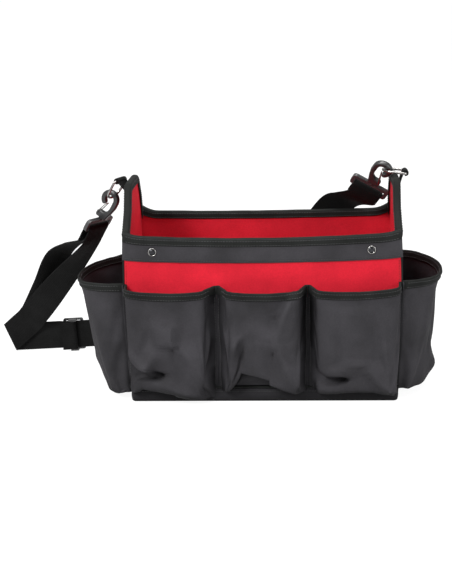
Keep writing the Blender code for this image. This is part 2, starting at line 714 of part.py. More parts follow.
class Layer:
    """One layer of the strap: a run to the fold, the fold, and a run away from it. s is 0 at the fold."""

    def __init__(self, radius, before, after):
        self.radius = radius
        self.before, self.after = Run(before), Run(after)
        self.start = -FOLD_HALF - self.before.length
        self.end = FOLD_HALF + self.after.length

    def point(self, s, v, lift):
        if s < -FOLD_HALF:
            return self.before.point(s - self.start, v, lift)
        if s > FOLD_HALF:
            return self.after.point(s - FOLD_HALF, v, lift)
        return fold_point(s, v, lift, self.radius)


def strap_layers(left, right):
    """The main layer, from the left swivel's bar to the right one's, and the return layer beside it."""
    layers = []
    for radius, side, bulge in ((MAIN_RADIUS, 1, 0.0), (RETURN_RADIUS, -1, 24.0)):
        bar = left.bar_point(0, SWIVEL_BAR_CENTRE, side * LOOP_RADIUS)
        away = -left.hook_axis
        into = fold_point(-FOLD_HALF, 0, 0, radius)
        middle = (bar + away * 30).lerp(into - BEFORE_FOLD * 30, 0.45) - left.bar_normal * bulge
        before = [(bar, left.bar_way), (bar + away * 15, left.bar_way), (bar + away * 30, left.bar_way),
                  (middle, left.bar_way.lerp(BEFORE_ACROSS, 0.5)),
                  (into - BEFORE_FOLD * 30, BEFORE_ACROSS), (into - BEFORE_FOLD * 15, BEFORE_ACROSS),
                  (into, BEFORE_ACROSS)]
        out = fold_point(FOLD_HALF, 0, 0, radius)
        reach = SLIDER_RUN + 45.0 - FOLD_HALF
        after = [(out + AFTER_FOLD * t, AFTER_ACROSS) for t in (0.0, 50.0, reach - 15, reach)]
        if side > 0:
            after += list(STRAP_ROUTE)
            end = right.bar_point(0, SWIVEL_BAR_CENTRE, LOOP_RADIUS)
            after += [(end - right.hook_axis * 24, right.bar_way), (end - right.hook_axis * 12, right.bar_way),
                      (end, right.bar_way)]
        layers.append(Layer(radius, before, after))
    return layers


ACROSS = [WEBBING * (k / 4 - 0.5) for k in range(5)]


def crossing(layer, inside, outside, hw, reach):
    """For each line along the webbing, where it is at the given distance from a ring's axis."""
    found = []
    for v in ACROSS:
        a, b = inside, outside
        for _ in range(30):
            s = (a + b) / 2
            offset = layer.point(s, v, 0) - hw.pivot
            away = (offset - hw.axis * offset.dot(hw.axis)).length
            a, b = (s, b) if away < reach else (a, s)
        found.append(a)
    return found


def rows_between(first, last, step):
    """Rows of distances from one row to another, about step apart."""
    count = max(1, round(abs(last[2] - first[2]) / step))
    return [[a + (b - a) * i / count for a, b in zip(first, last)] for i in range(1, count + 1)]


def fold_row(radius, share):
    """A row that lies along the fold, at a share of its bend from -1 to 1."""
    q = share * (math.pi * radius / 2 + 0.6)
    lean = BEFORE_ACROSS.dot(FOLD_FORWARD) / BEFORE_FOLD.dot(FOLD_FORWARD)
    return [q / BEFORE_FOLD.dot(FOLD_FORWARD) - v * lean for v in ACROSS]


def folded_rows(radius):
    straight_in, straight_out = [-FOLD_HALF] * 5, [FOLD_HALF] * 5
    rows = rows_between(straight_in, fold_row(radius, -1), 14)
    rows += [fold_row(radius, share) for share in (-0.75, -0.45, -0.15, 0.15, 0.45, 0.75, 1)]
    return rows + rows_between(fold_row(radius, 1), straight_out, 14)


def add_webbing(name, grid):
    """A strip from rows of functions of the lift above its middle."""
    outer = [[point(WEBBING_THICK / 2) for point in row] for row in grid]
    inner = [[point(-WEBBING_THICK / 2) for point in row] for row in grid]
    add_mesh(name, *shell(outer, inner), "webbing", smooth=True)


def layer_grid(layer, rows):
    return [[lambda lift, s=s, v=v: layer.point(s, v, lift) for s, v in zip(row, ACROSS)] for row in rows]


def bar_grid(hw, first, last, steps):
    """Rows round a swivel's bar, angles in degrees from its normal."""
    grid = []
    for k in range(1, steps):
        t = math.radians(first + (last - first) * k / steps)
        row = []
        for v in ACROSS:
            row.append(lambda lift, v=v, t=t: hw.bar_point(
                v, SWIVEL_BAR_CENTRE + (LOOP_RADIUS + lift) * math.sin(t),
                (LOOP_RADIUS + lift) * math.cos(t)))
        grid.append(row)
    return grid


def build_strap(left, right):
    main, back = strap_layers(left, right)
    clear = 1.4
    slack = 180.0
    near = crossing(main, main.start, main.start + slack, left, LEFT_REACH + clear)
    far = crossing(main, main.end, main.end - slack, right, RIGHT_REACH + clear)
    settle_in, settle_out = [near[2] + 40] * 5, [far[2] - 40] * 5
    rows = [near] + rows_between(near, settle_in, 14) + rows_between(settle_in, [-FOLD_HALF] * 5, 16)
    rows += folded_rows(MAIN_RADIUS)
    rows += rows_between([FOLD_HALF] * 5, settle_out, 16) + rows_between(settle_out, far, 14)
    add_webbing("shoulder_strap", layer_grid(main, rows))

    near = crossing(back, back.start, back.start + slack, left, LEFT_REACH + clear)
    settle_in = [near[2] + 40] * 5
    stop = [SLIDER_RUN - SLIDER_LENGTH / 2 - SLIDER_TRAVEL - 2] * 5
    rows = [near] + rows_between(near, settle_in, 14) + rows_between(settle_in, [-FOLD_HALF] * 5, 16)
    rows += folded_rows(RETURN_RADIUS) + rows_between([FOLD_HALF] * 5, stop, 16)
    add_webbing("strap_return", layer_grid(back, rows))

    down = crossing(main, main.start, main.start + slack, left, LEFT_REACH)
    grid = layer_grid(main, ([down] + rows_between(down, [main.start] * 5, 12)))
    grid += bar_grid(left, 0, 180, 8)
    down = crossing(back, back.start, back.start + slack, left, LEFT_REACH)
    tail = layer_grid(back, [[back.start] * 5] + rows_between([back.start] * 5, down, 12))
    grid += [[lambda lift, p=p: p(-lift) for p in row] for row in tail]
    add_webbing("left_strap_loop", grid)

    down = crossing(main, main.end, main.end - slack, right, RIGHT_REACH)
    grid = layer_grid(main, [down] + rows_between(down, [main.end] * 5, 12))
    grid = [[lambda lift, p=p: p(-lift) for p in row] for row in grid]
    grid += bar_grid(right, 0, 180, 8)
    for t in (0.0, 10.0, 22.0):
        grid.append([lambda lift, v=v, t=t: right.bar_point(
            v, SWIVEL_BAR_CENTRE - t, -(LOOP_RADIUS + lift)) for v in ACROSS])
    add_webbing("right_strap_loop", grid)


def build_slider():
    """The adjuster: two outer bars behind the webbing, and a middle bar in front that holds its end."""
    origin = fold_point(SLIDER_RUN, 0, 0, MAIN_RADIUS)

    def place(s, z, n):
        return origin + AFTER_FOLD * s + AFTER_ACROSS * -z - BACKWARD * n

    def block(s, z, n):
        corners = [(s[0], z[0]), (s[1], z[0]), (s[1], z[1]), (s[0], z[1])]
        return prism(corners, n[0], n[1], place)

    half, tall = SLIDER_LENGTH / 2, SLIDER_HEIGHT / 2
    outside, inside = [], []
    for cx, cz, start in ((half - 3, tall - 3, 0), (-half + 3, tall - 3, 90),
                          (-half + 3, -tall + 3, 180), (half - 3, -tall + 3, 270)):
        outside += arc((cx, cz), 3, start, start + 90, 2)
    edge = WEBBING / 2 + 0.5
    for cx, cz in ((1, 1), (-1, 1), (-1, -1), (1, -1)):
        inside += [(cx * (half - 5), cz * edge)] * 3
    back_face, front_face = -WEBBING_THICK / 2 - 4.2, -WEBBING_THICK / 2 - 0.4
    loops = []
    for outline, n in ((outside, back_face), (outside, front_face), (inside, front_face), (inside, back_face)):
        loops.append([place(s, z, n) for s, z in outline])
    frame = add_mesh("slider", *skin(loops, ring=True), "hook_plastic")
    bar = 7.5
    pieces = [block((-7, 7), (sign * (edge + 0.2), sign * (tall - 0.2)), (front_face - 2, bar + 1.9))
              for sign in (-1, 1)]
    pieces.append(block((-3, 3), (-tall + 1, tall - 1), (bar - 1.7, bar + 1.7)))
    for i, piece in enumerate(pieces):
        shape = add_mesh(f"slider_piece_shape_{i}", *piece, "hook_plastic")
        shape.hide_render = True
        shape.display_type = "WIRE"
        join = frame.modifiers.new(f"piece_{i}", "BOOLEAN")
        join.operation = "UNION"
        join.solver = "EXACT"
        join.object = shape

    radius = bar - (MAIN_RADIUS - RETURN_RADIUS)
    grid = []
    for s, n in ([(-14.0, bar - radius), (-7.0, bar - radius)]
                 + [(radius * math.cos(t), bar + radius * math.sin(t))
                    for t in (math.radians(-90 + 180 * k / 8) for k in range(9))]
                 + [(-8.0, bar + radius), (-18.0, bar + radius)]):
        along = Vector((s, n - bar)) if s > 0 else Vector((0, n - bar))
        along.normalize()
        grid.append([lambda lift, s=s, n=n, o=along, v=v: place(s + o.x * lift, -v, n + o.y * lift)
                     for v in ACROSS])
    add_webbing("slider_loop", grid)


def main():
    for old in list(bpy.data.objects):
        bpy.data.objects.remove(old, do_unlink=True)
    build_base()
    build_walls()
    build_rims()
    build_studs()
    build_pockets()
    left, right = left_hardware(), right_hardware()
    for side, hw, out in (("left", left, Vector((-1, 0, 0))), ("right", right, Vector((1, 0, 0)))):
        build_tab(f"{side}_ring_tab", hw, out)
        build_ring(f"{side}_d_ring", hw)
        build_hook(f"{side}_hook", hw)
        build_gate(f"{side}_hook_gate", hw)
        build_swivel(f"{side}_hook_swivel", hw)
    build_strap(left, right)
    build_slider()


main()
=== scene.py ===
"""Garden tool bag: sewn cloth walls, gathered pockets, bound rims and a webbing strap round the frame.

Lengths are in millimetres and become metres once, where a mesh is made. The sizes and routes are the
CAD part's own.
"""

import bisect
import math

import bmesh
import bpy
from mathutils import Matrix, Vector, noise


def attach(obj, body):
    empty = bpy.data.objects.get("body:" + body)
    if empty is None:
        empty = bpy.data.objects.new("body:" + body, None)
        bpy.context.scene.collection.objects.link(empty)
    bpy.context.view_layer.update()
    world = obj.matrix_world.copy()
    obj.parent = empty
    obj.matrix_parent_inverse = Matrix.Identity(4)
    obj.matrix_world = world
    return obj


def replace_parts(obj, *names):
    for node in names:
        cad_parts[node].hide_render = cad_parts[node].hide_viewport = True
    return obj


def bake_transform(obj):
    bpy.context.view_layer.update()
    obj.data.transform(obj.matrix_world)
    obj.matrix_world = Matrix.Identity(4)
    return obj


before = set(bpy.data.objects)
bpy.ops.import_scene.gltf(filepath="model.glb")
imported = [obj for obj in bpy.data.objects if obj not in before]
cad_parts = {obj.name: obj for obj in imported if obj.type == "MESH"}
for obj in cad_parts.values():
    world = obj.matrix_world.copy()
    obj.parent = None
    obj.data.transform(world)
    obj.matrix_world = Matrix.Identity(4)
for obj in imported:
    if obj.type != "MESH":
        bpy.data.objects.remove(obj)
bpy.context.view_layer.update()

MM = 0.001
GAP = 0.3

# Bag body
LENGTH = 420.0
DEPTH = 220.0
RIM_HEIGHT = 268.0
PEAK_HEIGHT = 340.0
LONG_WALL_LEAN = 12.5
END_WALL_FLARE = 5.0
BASE_UPSTAND = 22.0
BASE_WALL = 2.0
BASE_FLOOR = 3.0
OUTER_FABRIC = 1.5
BOARD = 2.5
LINING = 1.2
BINDING = 1.0
BINDING_WIDTH = 12.5
TOP_BAND_HEIGHT = 40.0
PIPING_RADIUS = 1.5
GABLE_TOP_HALF = 34.0
GABLE_RADIUS = 22.0
WALL_Y = DEPTH / 2 - BASE_WALL - GAP
WALL_X = LENGTH / 2 - BASE_WALL - GAP - END_WALL_FLARE * BASE_UPSTAND / PEAK_HEIGHT
WALL_BOTTOM = BASE_FLOOR + GAP
WALL_TOP = RIM_HEIGHT - BINDING - GAP
BOARD_FACE = OUTER_FABRIC + GAP
LINING_FACE = BOARD_FACE + BOARD + GAP
WALL_THICK = LINING_FACE + LINING
CORNER_LAP = 1.9         # how much of the corner is the end wall's cloth, lapped over the long wall's edge
LOWER_CLOTH_TOP = 168.0  # below it the long walls' outer cloth is black, behind the pockets

# How the standing bag has settled
FRONT_DIP = 7.0          # how far the middle of the front rim has dropped
BACK_DIP = 3.0
FRONT_CORNER_RISE = 5.0
BACK_CORNER_RISE = 13.0
CORNER_SPAN = 30.0
BELLY = 4.5
END_BOW = 6.5

# Pockets
POCKET_WALL = 1.6
LONG_POCKET_WIDTHS = (132.0, 134.0, 132.0)
LONG_POCKET_CENTRES = (-140.0, 0.0, 140.0)
END_POCKET_WIDTH = 196.0
LONG_POCKET_PROFILE = (
    (1, 28), (10, 25), (21, 20), (29, 21), (32, 34), (33, 80), (33, 135), (34, 172), (35, 190.5),
)
LEFT_POCKET_PROFILE = (
    (1, 28), (20, 28.5), (38, 24), (50, 17), (56, 13), (59, 14), (61, 24), (66, 62), (71.5, 112), (77, 152),
    (79.5, 172), (82, 190.5),
)
RIGHT_POCKET_PROFILE = (
    (1, 28), (22, 28.5), (42, 25), (56, 19), (62, 16), (64, 22), (64.5, 40), (61, 84), (60, 125), (63, 155),
    (66, 172), (68, 190.5),
)
POCKET_COLUMNS = 72
POCKET_FLANGE = 3.45     # the flat edge that is sewn to the wall beside a pocket
HOLLOW = 5.5             # how far the cloth between a pocket's folds has sunk
HANG_FRAMES = 14
HANG_CAP = 6.0           # the furthest that hanging moves a point
HANG_SMOOTHING = 3
HANG_SETTINGS = {
    "quality": 7, "mass": 0.15, "tension_stiffness": 20, "compression_stiffness": 20, "shear_stiffness": 8,
    "bending_stiffness": 2.5, "vertex_group_mass": "seams",
}
SHADE_PAINT_REACH = 50.0        # how near another surface must be for painted shade to darken black cloth
STUD_DIAMETER = 13.5
STUD_X = 168.0
STUD_Z = 244.0

# Webbing and its hardware
WEBBING = 50.0
WEBBING_THICK = 2.0
RING_WIRE = 2.0
RING_HALF_WIDTH = 17.0
RING_DEPTH = 35.0
TAB_WIDTH = 24.0
TAB_THICK = 3.2
HOOK_THICK = 9.0
HOOK_EYE = 7.5
HOOK_BAND = 8.5
HOOK_EYE_CENTRE = 50.0
HOOK_SHOULDER = 13.0
SWIVEL_BAR_CENTRE = -7.0
LOOP_RADIUS = 5.3
LEFT_PIVOT = Vector((-227.5, 0.0, 337.0))
LEFT_PULL = Vector((-0.906, 0.423, 0.0)).normalized()
LEFT_RING_LEAN = 33.0
LEFT_HOOK_LEAN = 33.0
LEFT_SWIVEL_TURN = -4.0
LEFT_SEAT = (0.0, 53.8)
RIGHT_PIVOT = Vector((225.5, 0.0, 343.5))
RIGHT_RING_LEAN = -97.0
RIGHT_HOOK_AXIS = Vector((0.385, -0.63, 0.675)).normalized()
RIGHT_SEAT = (0.8, 49.5)

# Strap route
FOLD = Vector((-461.0, 148.0, 27.4))
FOLD_LINE = Vector((0.37, 0.0, -0.929)).normalized()
STRAP_RISE = 2.6
RETURN_RADIUS = 1.6
MAIN_RADIUS = 4.2
FOLD_HALF = 40.0
SLIDER_RUN = 118.0
SLIDER_BAR = 7.5         # how far the slider's middle bar is from the main layer
RETURN_CUT = 70.0        # where the return layer is handed over to the slider loop
STRAP_ROUTE = (
    ((-220, 154, 31), (0.05, 0, -1)),
    ((-150, 156.5, 33), (0.15, 0, -0.99)),
    ((-50, 157, 62), (0.5, 0, -0.87)),
    ((25, 155, 130), (0.7, 0, -0.71)),
    ((78, 146, 212), (0.78, 0, -0.63)),
    ((112, 124, 262), (0.84, 0, -0.54)),
    ((135, 97, 281), (0.94, -0.05, -0.34)),
)

# Camera
CAMERA_PLACE = Vector((68.0, -1885.0, 682.0))
CAMERA_YAW = math.radians(3.97)
CAMERA_PITCH = math.radians(15.75)
CAMERA_ROLL = math.radians(-1.6)
CAMERA_LENS = 73.9

# Stage: lamps are (name, place, size, power), in metres and watts
FLOOR_SIZE = 60.0
LAMPS = (
    ("key", (-1.3, -1.5, 1.6), 0.8, 62.0),
    ("fill", (1.9, -1.0, 0.9), 1.0, 20.0),
    ("top", (0.1, -0.1, 2.3), 1.5, 62.0),
)


# Materials


class Look:
    """A material in the making. Its inputs take numbers, colours or the sockets of other nodes."""

    def __init__(self, name, colour, roughness, metallic=0.0, specular=0.5):
        self.material = bpy.data.materials.new(name)
        self.material.use_nodes = True
        self.tree = self.material.node_tree
        self.shader = self.tree.nodes["Principled BSDF"]
        self.uv = self.add("UVMap", {}, "UV", uv_map="cloth")
        self.where = self.add("TexCoord", {}, "Object")
        self.pointed = self.add("NewGeometry", {}, "Pointiness")
        self.finish({"Base Color": colour, "Roughness": roughness, "Metallic": metallic,
                     "Specular IOR Level": specular})

    def fill(self, node, values):
        for key, value in values.items():
            if isinstance(value, bpy.types.NodeSocket):
                self.tree.links.new(value, node.inputs[key])
            else:
                node.inputs[key].default_value = (*value, 1.0) if isinstance(value, tuple) else value

    def finish(self, values):
        self.fill(self.shader, values)
        return self.material

    def add(self, kind, values, output=0, **settings):
        node = self.tree.nodes.new("ShaderNode" + kind)
        for key, value in settings.items():
            setattr(node, key, value)
        self.fill(node, values)
        return node.outputs[output]

    def noise(self, scale, detail=3.0):
        return self.add("TexNoise", {"Scale": scale, "Detail": detail, "Roughness": 0.55, "Vector": self.where},
                        "Fac")

    def ridges(self, direction, pitch_mm):
        """Ridges one pitch apart, along one direction of the cloth."""
        scale = 2 * math.pi / (20 * pitch_mm * MM)
        return self.add("TexWave", {"Scale": scale, "Detail": 0.0, "Vector": self.uv}, "Fac",
                        bands_direction=direction)

    def mix(self, kind, factor, a, b):
        return self.add("Mix", {0: factor, 6: a, 7: b}, 2, data_type="RGBA", blend_type=kind)

    def math(self, kind, a, b):
        return self.add("Math", {0: a, 1: b}, operation=kind)

    def ramp(self, factor, *stops):
        """A ramp through two stops, each a place and its colour or grey."""
        colour = self.add("ValToRGB", {"Fac": factor}, "Color")
        for element, (place, shade) in zip(colour.node.color_ramp.elements, stops):
            element.position = place
            element.color = (*(shade if isinstance(shade, tuple) else (shade,) * 3), 1.0)
        return colour

    def spread(self, factor, low, high):
        """A number that runs from low to high as the factor goes over its middle range."""
        return self.add("MapRange", {"Value": factor, "From Min": 0.3, "From Max": 0.7, "To Min": low,
                                     "To Max": high})

    def bump(self, height, distance_mm, strength):
        return self.add("Bump", {"Strength": strength, "Distance": distance_mm * MM, "Height": height})


def cloth_material(name, dark, light, fade, thread_mm, roughness, folds=False):
    """Plain woven cloth: crossed threads, slubs, faded patches, rubbed edges and, if asked, painted shade in
    folds and hollows.
    """
    look = Look(name, light, roughness[1], specular=0.07)
    weave = look.math("MULTIPLY", look.ridges("X", thread_mm), look.ridges("Y", thread_mm))
    patches = look.noise(14.0)
    slubs = look.noise(420.0, 2.0)
    colour = look.mix("MULTIPLY", 0.35, look.ramp(patches, (0.3, dark), (0.72, light)),
                      look.ramp(slubs, (0.3, 0.6), (0.7, 1.0)))
    colour = look.mix("MULTIPLY", 0.4, colour, look.ramp(weave, (0.0, 0.62), (0.55, 1.0)))
    wear = look.math("MULTIPLY", look.ramp(look.pointed, (0.52, 0.0), (0.62, 1.0)), 0.25)
    colour = look.mix("MIX", wear, colour, fade)
    if folds:
        # Painted shade: an occlusion test darkens the colour where other surfaces are near, in folds, hollows
        # and gaps.
        painted_shade_share = look.add("AmbientOcclusion", {"Distance": SHADE_PAINT_REACH * MM}, "AO", samples=8)
        colour = look.mix("MULTIPLY", 1.0, colour, look.ramp(painted_shade_share, (0.25, 0.14), (0.85, 1.0)))
    return look.finish({"Base Color": colour, "Roughness": look.spread(patches, *roughness),
                        "Normal": look.bump(look.math("ADD", weave, slubs), 0.16, 0.75)})


def webbing_material(name, dark, light, rib_mm, ridge_mm):
    """Ribbed webbing, tape or thread: ribs across the strip and fine ridges along it."""
    look = Look(name, light, 0.8, specular=0.10)
    woven = look.math("MULTIPLY", look.ridges("Y", rib_mm), look.ridges("X", ridge_mm))
    fuzz = look.noise(600.0, 2.0)
    colour = look.mix("MULTIPLY", 0.5, look.ramp(look.noise(30.0), (0.3, dark), (0.7, light)),
                      look.ramp(woven, (0.0, 0.5), (0.6, 1.0)))
    colour = look.mix("MULTIPLY", 0.6, colour, look.ramp(fuzz, (0.35, 0.7), (0.75, 1.25)))
    return look.finish({"Base Color": colour, "Roughness": look.spread(fuzz, 0.72, 0.9),
                        "Normal": look.bump(look.math("ADD", woven, fuzz), 0.28, 0.8)})


def plastic_material(name, dark, light, roughness):
    """Moulded plastic with a fine grain, scuffs and rubbed edges."""
    look = Look(name, dark, roughness[0])
    scuffs = look.noise(55.0, 4.0)
    wear = look.math("MULTIPLY", look.ramp(look.pointed, (0.5, 0.0), (0.58, 1.0)), scuffs)
    return look.finish({"Base Color": look.mix("MIX", wear, dark, light),
                        "Roughness": look.spread(scuffs, *roughness),
                        "Normal": look.bump(look.noise(900.0, 2.0), 0.05, 0.5)})


def metal_material(name, dark, light, roughness):
    """Plated wire: a bright coat, a little dulled and finely scratched."""
    look = Look(name, light, roughness[0], 1.0)
    tarnish = look.noise(160.0, 4.0)
    return look.finish({"Base Color": look.ramp(tarnish, (0.3, dark), (0.6, light)),
                        "Roughness": look.spread(tarnish, *roughness),
                        "Normal": look.bump(look.noise(1500.0, 2.0), 0.02, 0.5)})


RED = cloth_material("red_cloth", (0.50, 0.013, 0.026), (0.66, 0.018, 0.035), (0.62, 0.05, 0.06), 0.75,
                     (0.80, 0.95))
# The black cloth has painted shade in its folds, hollows and gaps (its folds flag).
BLACK = cloth_material("black_cloth", (0.026, 0.0250, 0.0275), (0.046, 0.0440, 0.0490), (0.060, 0.059, 0.065),
                       0.85, (0.62, 0.80), folds=True)
BOARD_MATERIAL = cloth_material("stiff_board", (0.20, 0.19, 0.17), (0.30, 0.29, 0.26), (0.4, 0.38, 0.34), 1.2,
                                (0.8, 0.95))
TAPE = webbing_material("binding_tape", (0.0105, 0.0112, 0.0105), (0.0165, 0.0178, 0.0168), 1.1, 2.2)
WEB = webbing_material("strap_webbing", (0.0035, 0.0035, 0.0035), (0.0075, 0.0075, 0.0075), 1.3, 3.6)
THREAD = webbing_material("sewing_thread", (0.045, 0.045, 0.046), (0.075, 0.075, 0.077), 0.5, 0.5)
RED_THREAD = webbing_material("red_thread", (0.36, 0.016, 0.024), (0.50, 0.03, 0.04), 0.5, 0.5)
PLASTIC = plastic_material("hook_plastic", (0.008, 0.008, 0.0085), (0.05, 0.05, 0.051), (0.30, 0.46))
NICKEL = metal_material("nickel_wire", (0.17, 0.165, 0.16), (0.36, 0.35, 0.34), (0.16, 0.32))
GUNMETAL = metal_material("gunmetal", (0.020, 0.020, 0.022), (0.050, 0.050, 0.054), (0.26, 0.42))


# Meshes


def finish_piece(name, mesh, material, body="bag"):
    """The object of a mesh, with its material, riding on a body if one is given."""
    mesh.shade_smooth()
    mesh.set_sharp_from_angle(angle=math.radians(50))
    mesh.materials.append(material)
    made = bpy.data.objects.new(name, mesh)
    bpy.context.scene.collection.objects.link(made)
    if body:
        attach(made, body)
    return made


def mesh_of(name, points, faces, corners):
    """A mesh from points and cloth coordinates in millimetres. corners holds one pair per face corner."""
    mesh = bpy.data.meshes.new(name)
    mesh.from_pydata([Vector(p) * MM for p in points], [], faces)
    layer = mesh.uv_layers.new(name="cloth")
    flat = [pair for face in corners for pair in face]
    for loop, (u, v) in zip(layer.data, flat):
        loop.uv = (u * MM, v * MM)
    tidy = bmesh.new()
    tidy.from_mesh(mesh)
    bmesh.ops.remove_doubles(tidy, verts=tidy.verts, dist=0.00001)
    bmesh.ops.recalc_face_normals(tidy, faces=tidy.faces)
    tidy.to_mesh(mesh)
    tidy.free()
    return mesh


def grid_normals(rows):
    """Unit normals of a grid of points: across the row, then along the column."""
    normals = []
    last_row, last_column = len(rows) - 1, len(rows[0]) - 1
    for i, row in enumerate(rows):
        line = []
        for j in range(len(row)):
            across = row[min(j + 1, last_column)] - row[max(j - 1, 0)]
            along = rows[min(i + 1, last_row)][j] - rows[max(i - 1, 0)][j]
            normal = across.cross(along)
            line.append(normal.normalized() if normal.length > 1e-9 else None)
        spare = next((n for n in line if n), Vector((0, 0, 1)))
        normals.append([n or spare for n in line])
    return normals


def marks_along(points):
    """How far along a line each of its points is."""
    marks = [0.0]
    for p, q in zip(points, points[1:]):
        marks.append(marks[-1] + (q - p).length)
    return marks


def locate(marks, s):
    """The span of a measured line that s falls in, and how far through it s is."""
    i = min(max(bisect.bisect_left(marks, s) - 1, 0), len(marks) - 2)
    return i, (s - marks[i]) / max(marks[i + 1] - marks[i], 1e-6)


def headings(points, ring=False):
    """The unit direction of a line at each of its points."""
    count = len(points)
    found = []
    for i in range(count):
        before = points[i - 1] if ring or i else points[i]
        after = points[(i + 1) % count] if ring or i < count - 1 else points[i]
        found.append((after - before).normalized())
    return found


def lengths(rows):
    """Cloth coordinates of a grid: distance across each row from its middle, and along each column."""
    middle = len(rows[0]) // 2
    across = []
    for row in rows:
        marks = marks_along(row)
        across.append([m - marks[middle] for m in marks])
    return across, list(zip(*(marks_along(column) for column in zip(*rows))))


def cloth_area(rows):
    total = 0.0
    for row, after in zip(rows, rows[1:]):
        for j in range(len(row) - 1):
            total += (row[j + 1] - row[j]).cross(after[j] - row[j]).length / 2
            total += (after[j + 1] - row[j + 1]).cross(after[j + 1] - after[j]).length / 2
    return total * MM * MM


def sheet(name, rows, thickness, material):
    """A sheet of cloth of real thickness whose middle is a grid of points."""
    across, along = lengths(rows)
    count, width = len(rows), len(rows[0])
    size = count * width
    normals = grid_normals(rows)
    points = [p + n * (side * thickness / 2)
              for side in (1, -1) for row, outs in zip(rows, normals) for p, n in zip(row, outs)]
    faces = []
    for i in range(count - 1):
        for j in range(width - 1):
            a = i * width + j
            quad = (a, a + 1, a + width + 1, a + width)
            faces += [quad, tuple(size + k for k in reversed(quad))]
    edges = [(i * width + j, (i + 1) * width + j) for i in range(count - 1) for j in (0, width - 1)]
    edges += [(i * width + j, i * width + j + 1) for j in range(width - 1) for i in (0, count - 1)]
    faces += [(a, b, size + b, size + a) for a, b in edges]
    corners = [[(across[k % size // width][k % width], along[k % size // width][k % width]) for k in face]
               for face in faces]
    made = finish_piece(name, mesh_of(name, points, faces, corners), material)
    area = cloth_area(rows)
    return made


def loft(name, loops, material, body="bag", ring=False):
    """A solid through closed loops of points, capped at its ends unless it closes on itself."""
    count = len(loops[0])
    rows = [[*loop, loop[0]] for loop in loops]
    if ring:
        rows.append(rows[0])
    across, along = lengths(rows)
    faces, corners = [], []
    for i in range(len(rows) - 1):
        a, b = i * count, (i + 1) % len(loops) * count
        for j in range(count):
            k = (j + 1) % count
            faces.append((a + j, a + k, b + k, b + j))
            corners.append([(across[m][n], along[m][n])
                            for m, n in ((i, j), (i, j + 1), (i + 1, j + 1), (i + 1, j))])
    if not ring:
        for first in (0, (len(loops) - 1) * count):
            faces.append(tuple(first + j for j in range(count)))
            corners.append([(across[0][j], 0.0) for j in range(count)])
    points = [p for loop in loops for p in loop]
    return finish_piece(name, mesh_of(name, points, faces, corners), material, body)


def arc(centre, radius, start, end, steps):
    found = []
    for k in range(steps + 1):
        t = math.radians(start + (end - start) * k / steps)
        found.append((centre[0] + radius * math.cos(t), centre[1] + radius * math.sin(t)))
    return found


def circle(radius, sides):
    return arc((0, 0), radius, 0, 360, sides)[:-1]


def tube(name, path, radius, sides, material, body="bag", ring=False, across=Vector((0, 0, 1))):
    """A round wire or cord along a path."""
    loops = []
    for p, along in zip(path, headings(path, ring)):
        side = (across - along * across.dot(along)).normalized()
        up = along.cross(side)
        loops.append([p + side * c + up * s for c, s in circle(radius, sides)])
    return loft(name, loops, material, body, ring)


def smooth_path(points, steps, ring=False):
    """A Catmull-Rom curve through points, steps to each span."""
    count = len(points)
    found = []
    spans = count if ring else count - 1
    for i in range(spans):
        if ring:
            a, b, c, d = (points[(i + k) % count] for k in (-1, 0, 1, 2))
        else:
            a, b, c, d = (points[min(max(i + k, 0), count - 1)] for k in (-1, 0, 1, 2))
        for k in range(steps):
            t = k / steps
            found.append(((b * 2) + (c - a) * t + (a * 2 - b * 5 + c * 4 - d) * t * t
                          + (b * 3 - a - c * 3 + d) * t ** 3) / 2)
    if not ring:
        found.append(points[-1])
    return found


def clamp(value, low=0.0, high=1.0):
    return min(high, max(low, value))


def ripple(x, y, seed):
    return noise.noise(Vector((x, y, seed * 7.31)))


class Stitches:
    """Rows of thread: short rounded dashes that lie on the cloth and dip into it at their ends."""

    SHAPE = ((-0.5, 0.35, -0.55), (-0.36, 0.95, 0.25), (0.0, 1.0, 0.5), (0.36, 0.95, 0.25), (0.5, 0.35, -0.55))
    SIDES = 6

    def __init__(self):
        self.points, self.faces, self.corners = [], [], []

    def dash(self, centre, along, out, length, radius):
        side = along.cross(out).normalized()
        first = len(self.points)
        for share, wide, lift in self.SHAPE:
            for c, s in circle(radius * wide, self.SIDES):
                self.points.append(centre + along * share * length + side * c + out * (s + lift * radius))
        for i in range(len(self.SHAPE) - 1):
            for k in range(self.SIDES):
                a, b = first + i * self.SIDES + k, first + i * self.SIDES + (k + 1) % self.SIDES
                self.faces.append((a, b, b + self.SIDES, a + self.SIDES))
                low, high = i * 0.5, i * 0.5 + 0.5
                self.corners.append([(0.0, low), (0.1, low), (0.1, high), (0.0, high)])
        for start in (first, len(self.points) - self.SIDES):
            self.faces.append(tuple(range(start, start + self.SIDES)))
            self.corners.append([(0.0, 0.0)] * self.SIDES)

    def row(self, line, pitch=4.2, length=3.1, radius=0.5):
        """line holds (point, point just above it) pairs along the seam."""
        marks = marks_along([p for p, _ in line])
        count = int(marks[-1] / pitch)
        shift = (marks[-1] - (count - 1) * pitch) / 2
        for k in range(count):
            j, t = locate(marks, shift + k * pitch)
            p, q = (line[j][n].lerp(line[j + 1][n], t) for n in (0, 1))
            self.dash(p, (line[j + 1][0] - line[j][0]).normalized(), (q - p).normalized(), length, radius)

    def seam(self, place, spots, out=1.0):
        """A row along (across, height, outward) spots of a wall."""
        self.row([(place(a, h, d), place(a, h, d + out)) for a, h, d in spots])

    def build(self, name, material):
        finish_piece(name, mesh_of(name, self.points, self.faces, self.corners), material)


# Walls. A wall point is (across, height, outward) from the outer face of one of the four walls.


def long_wall_y(height):
    return WALL_Y - LONG_WALL_LEAN * height / RIM_HEIGHT


def end_wall_x(height):
    return WALL_X + END_WALL_FLARE * height / PEAK_HEIGHT


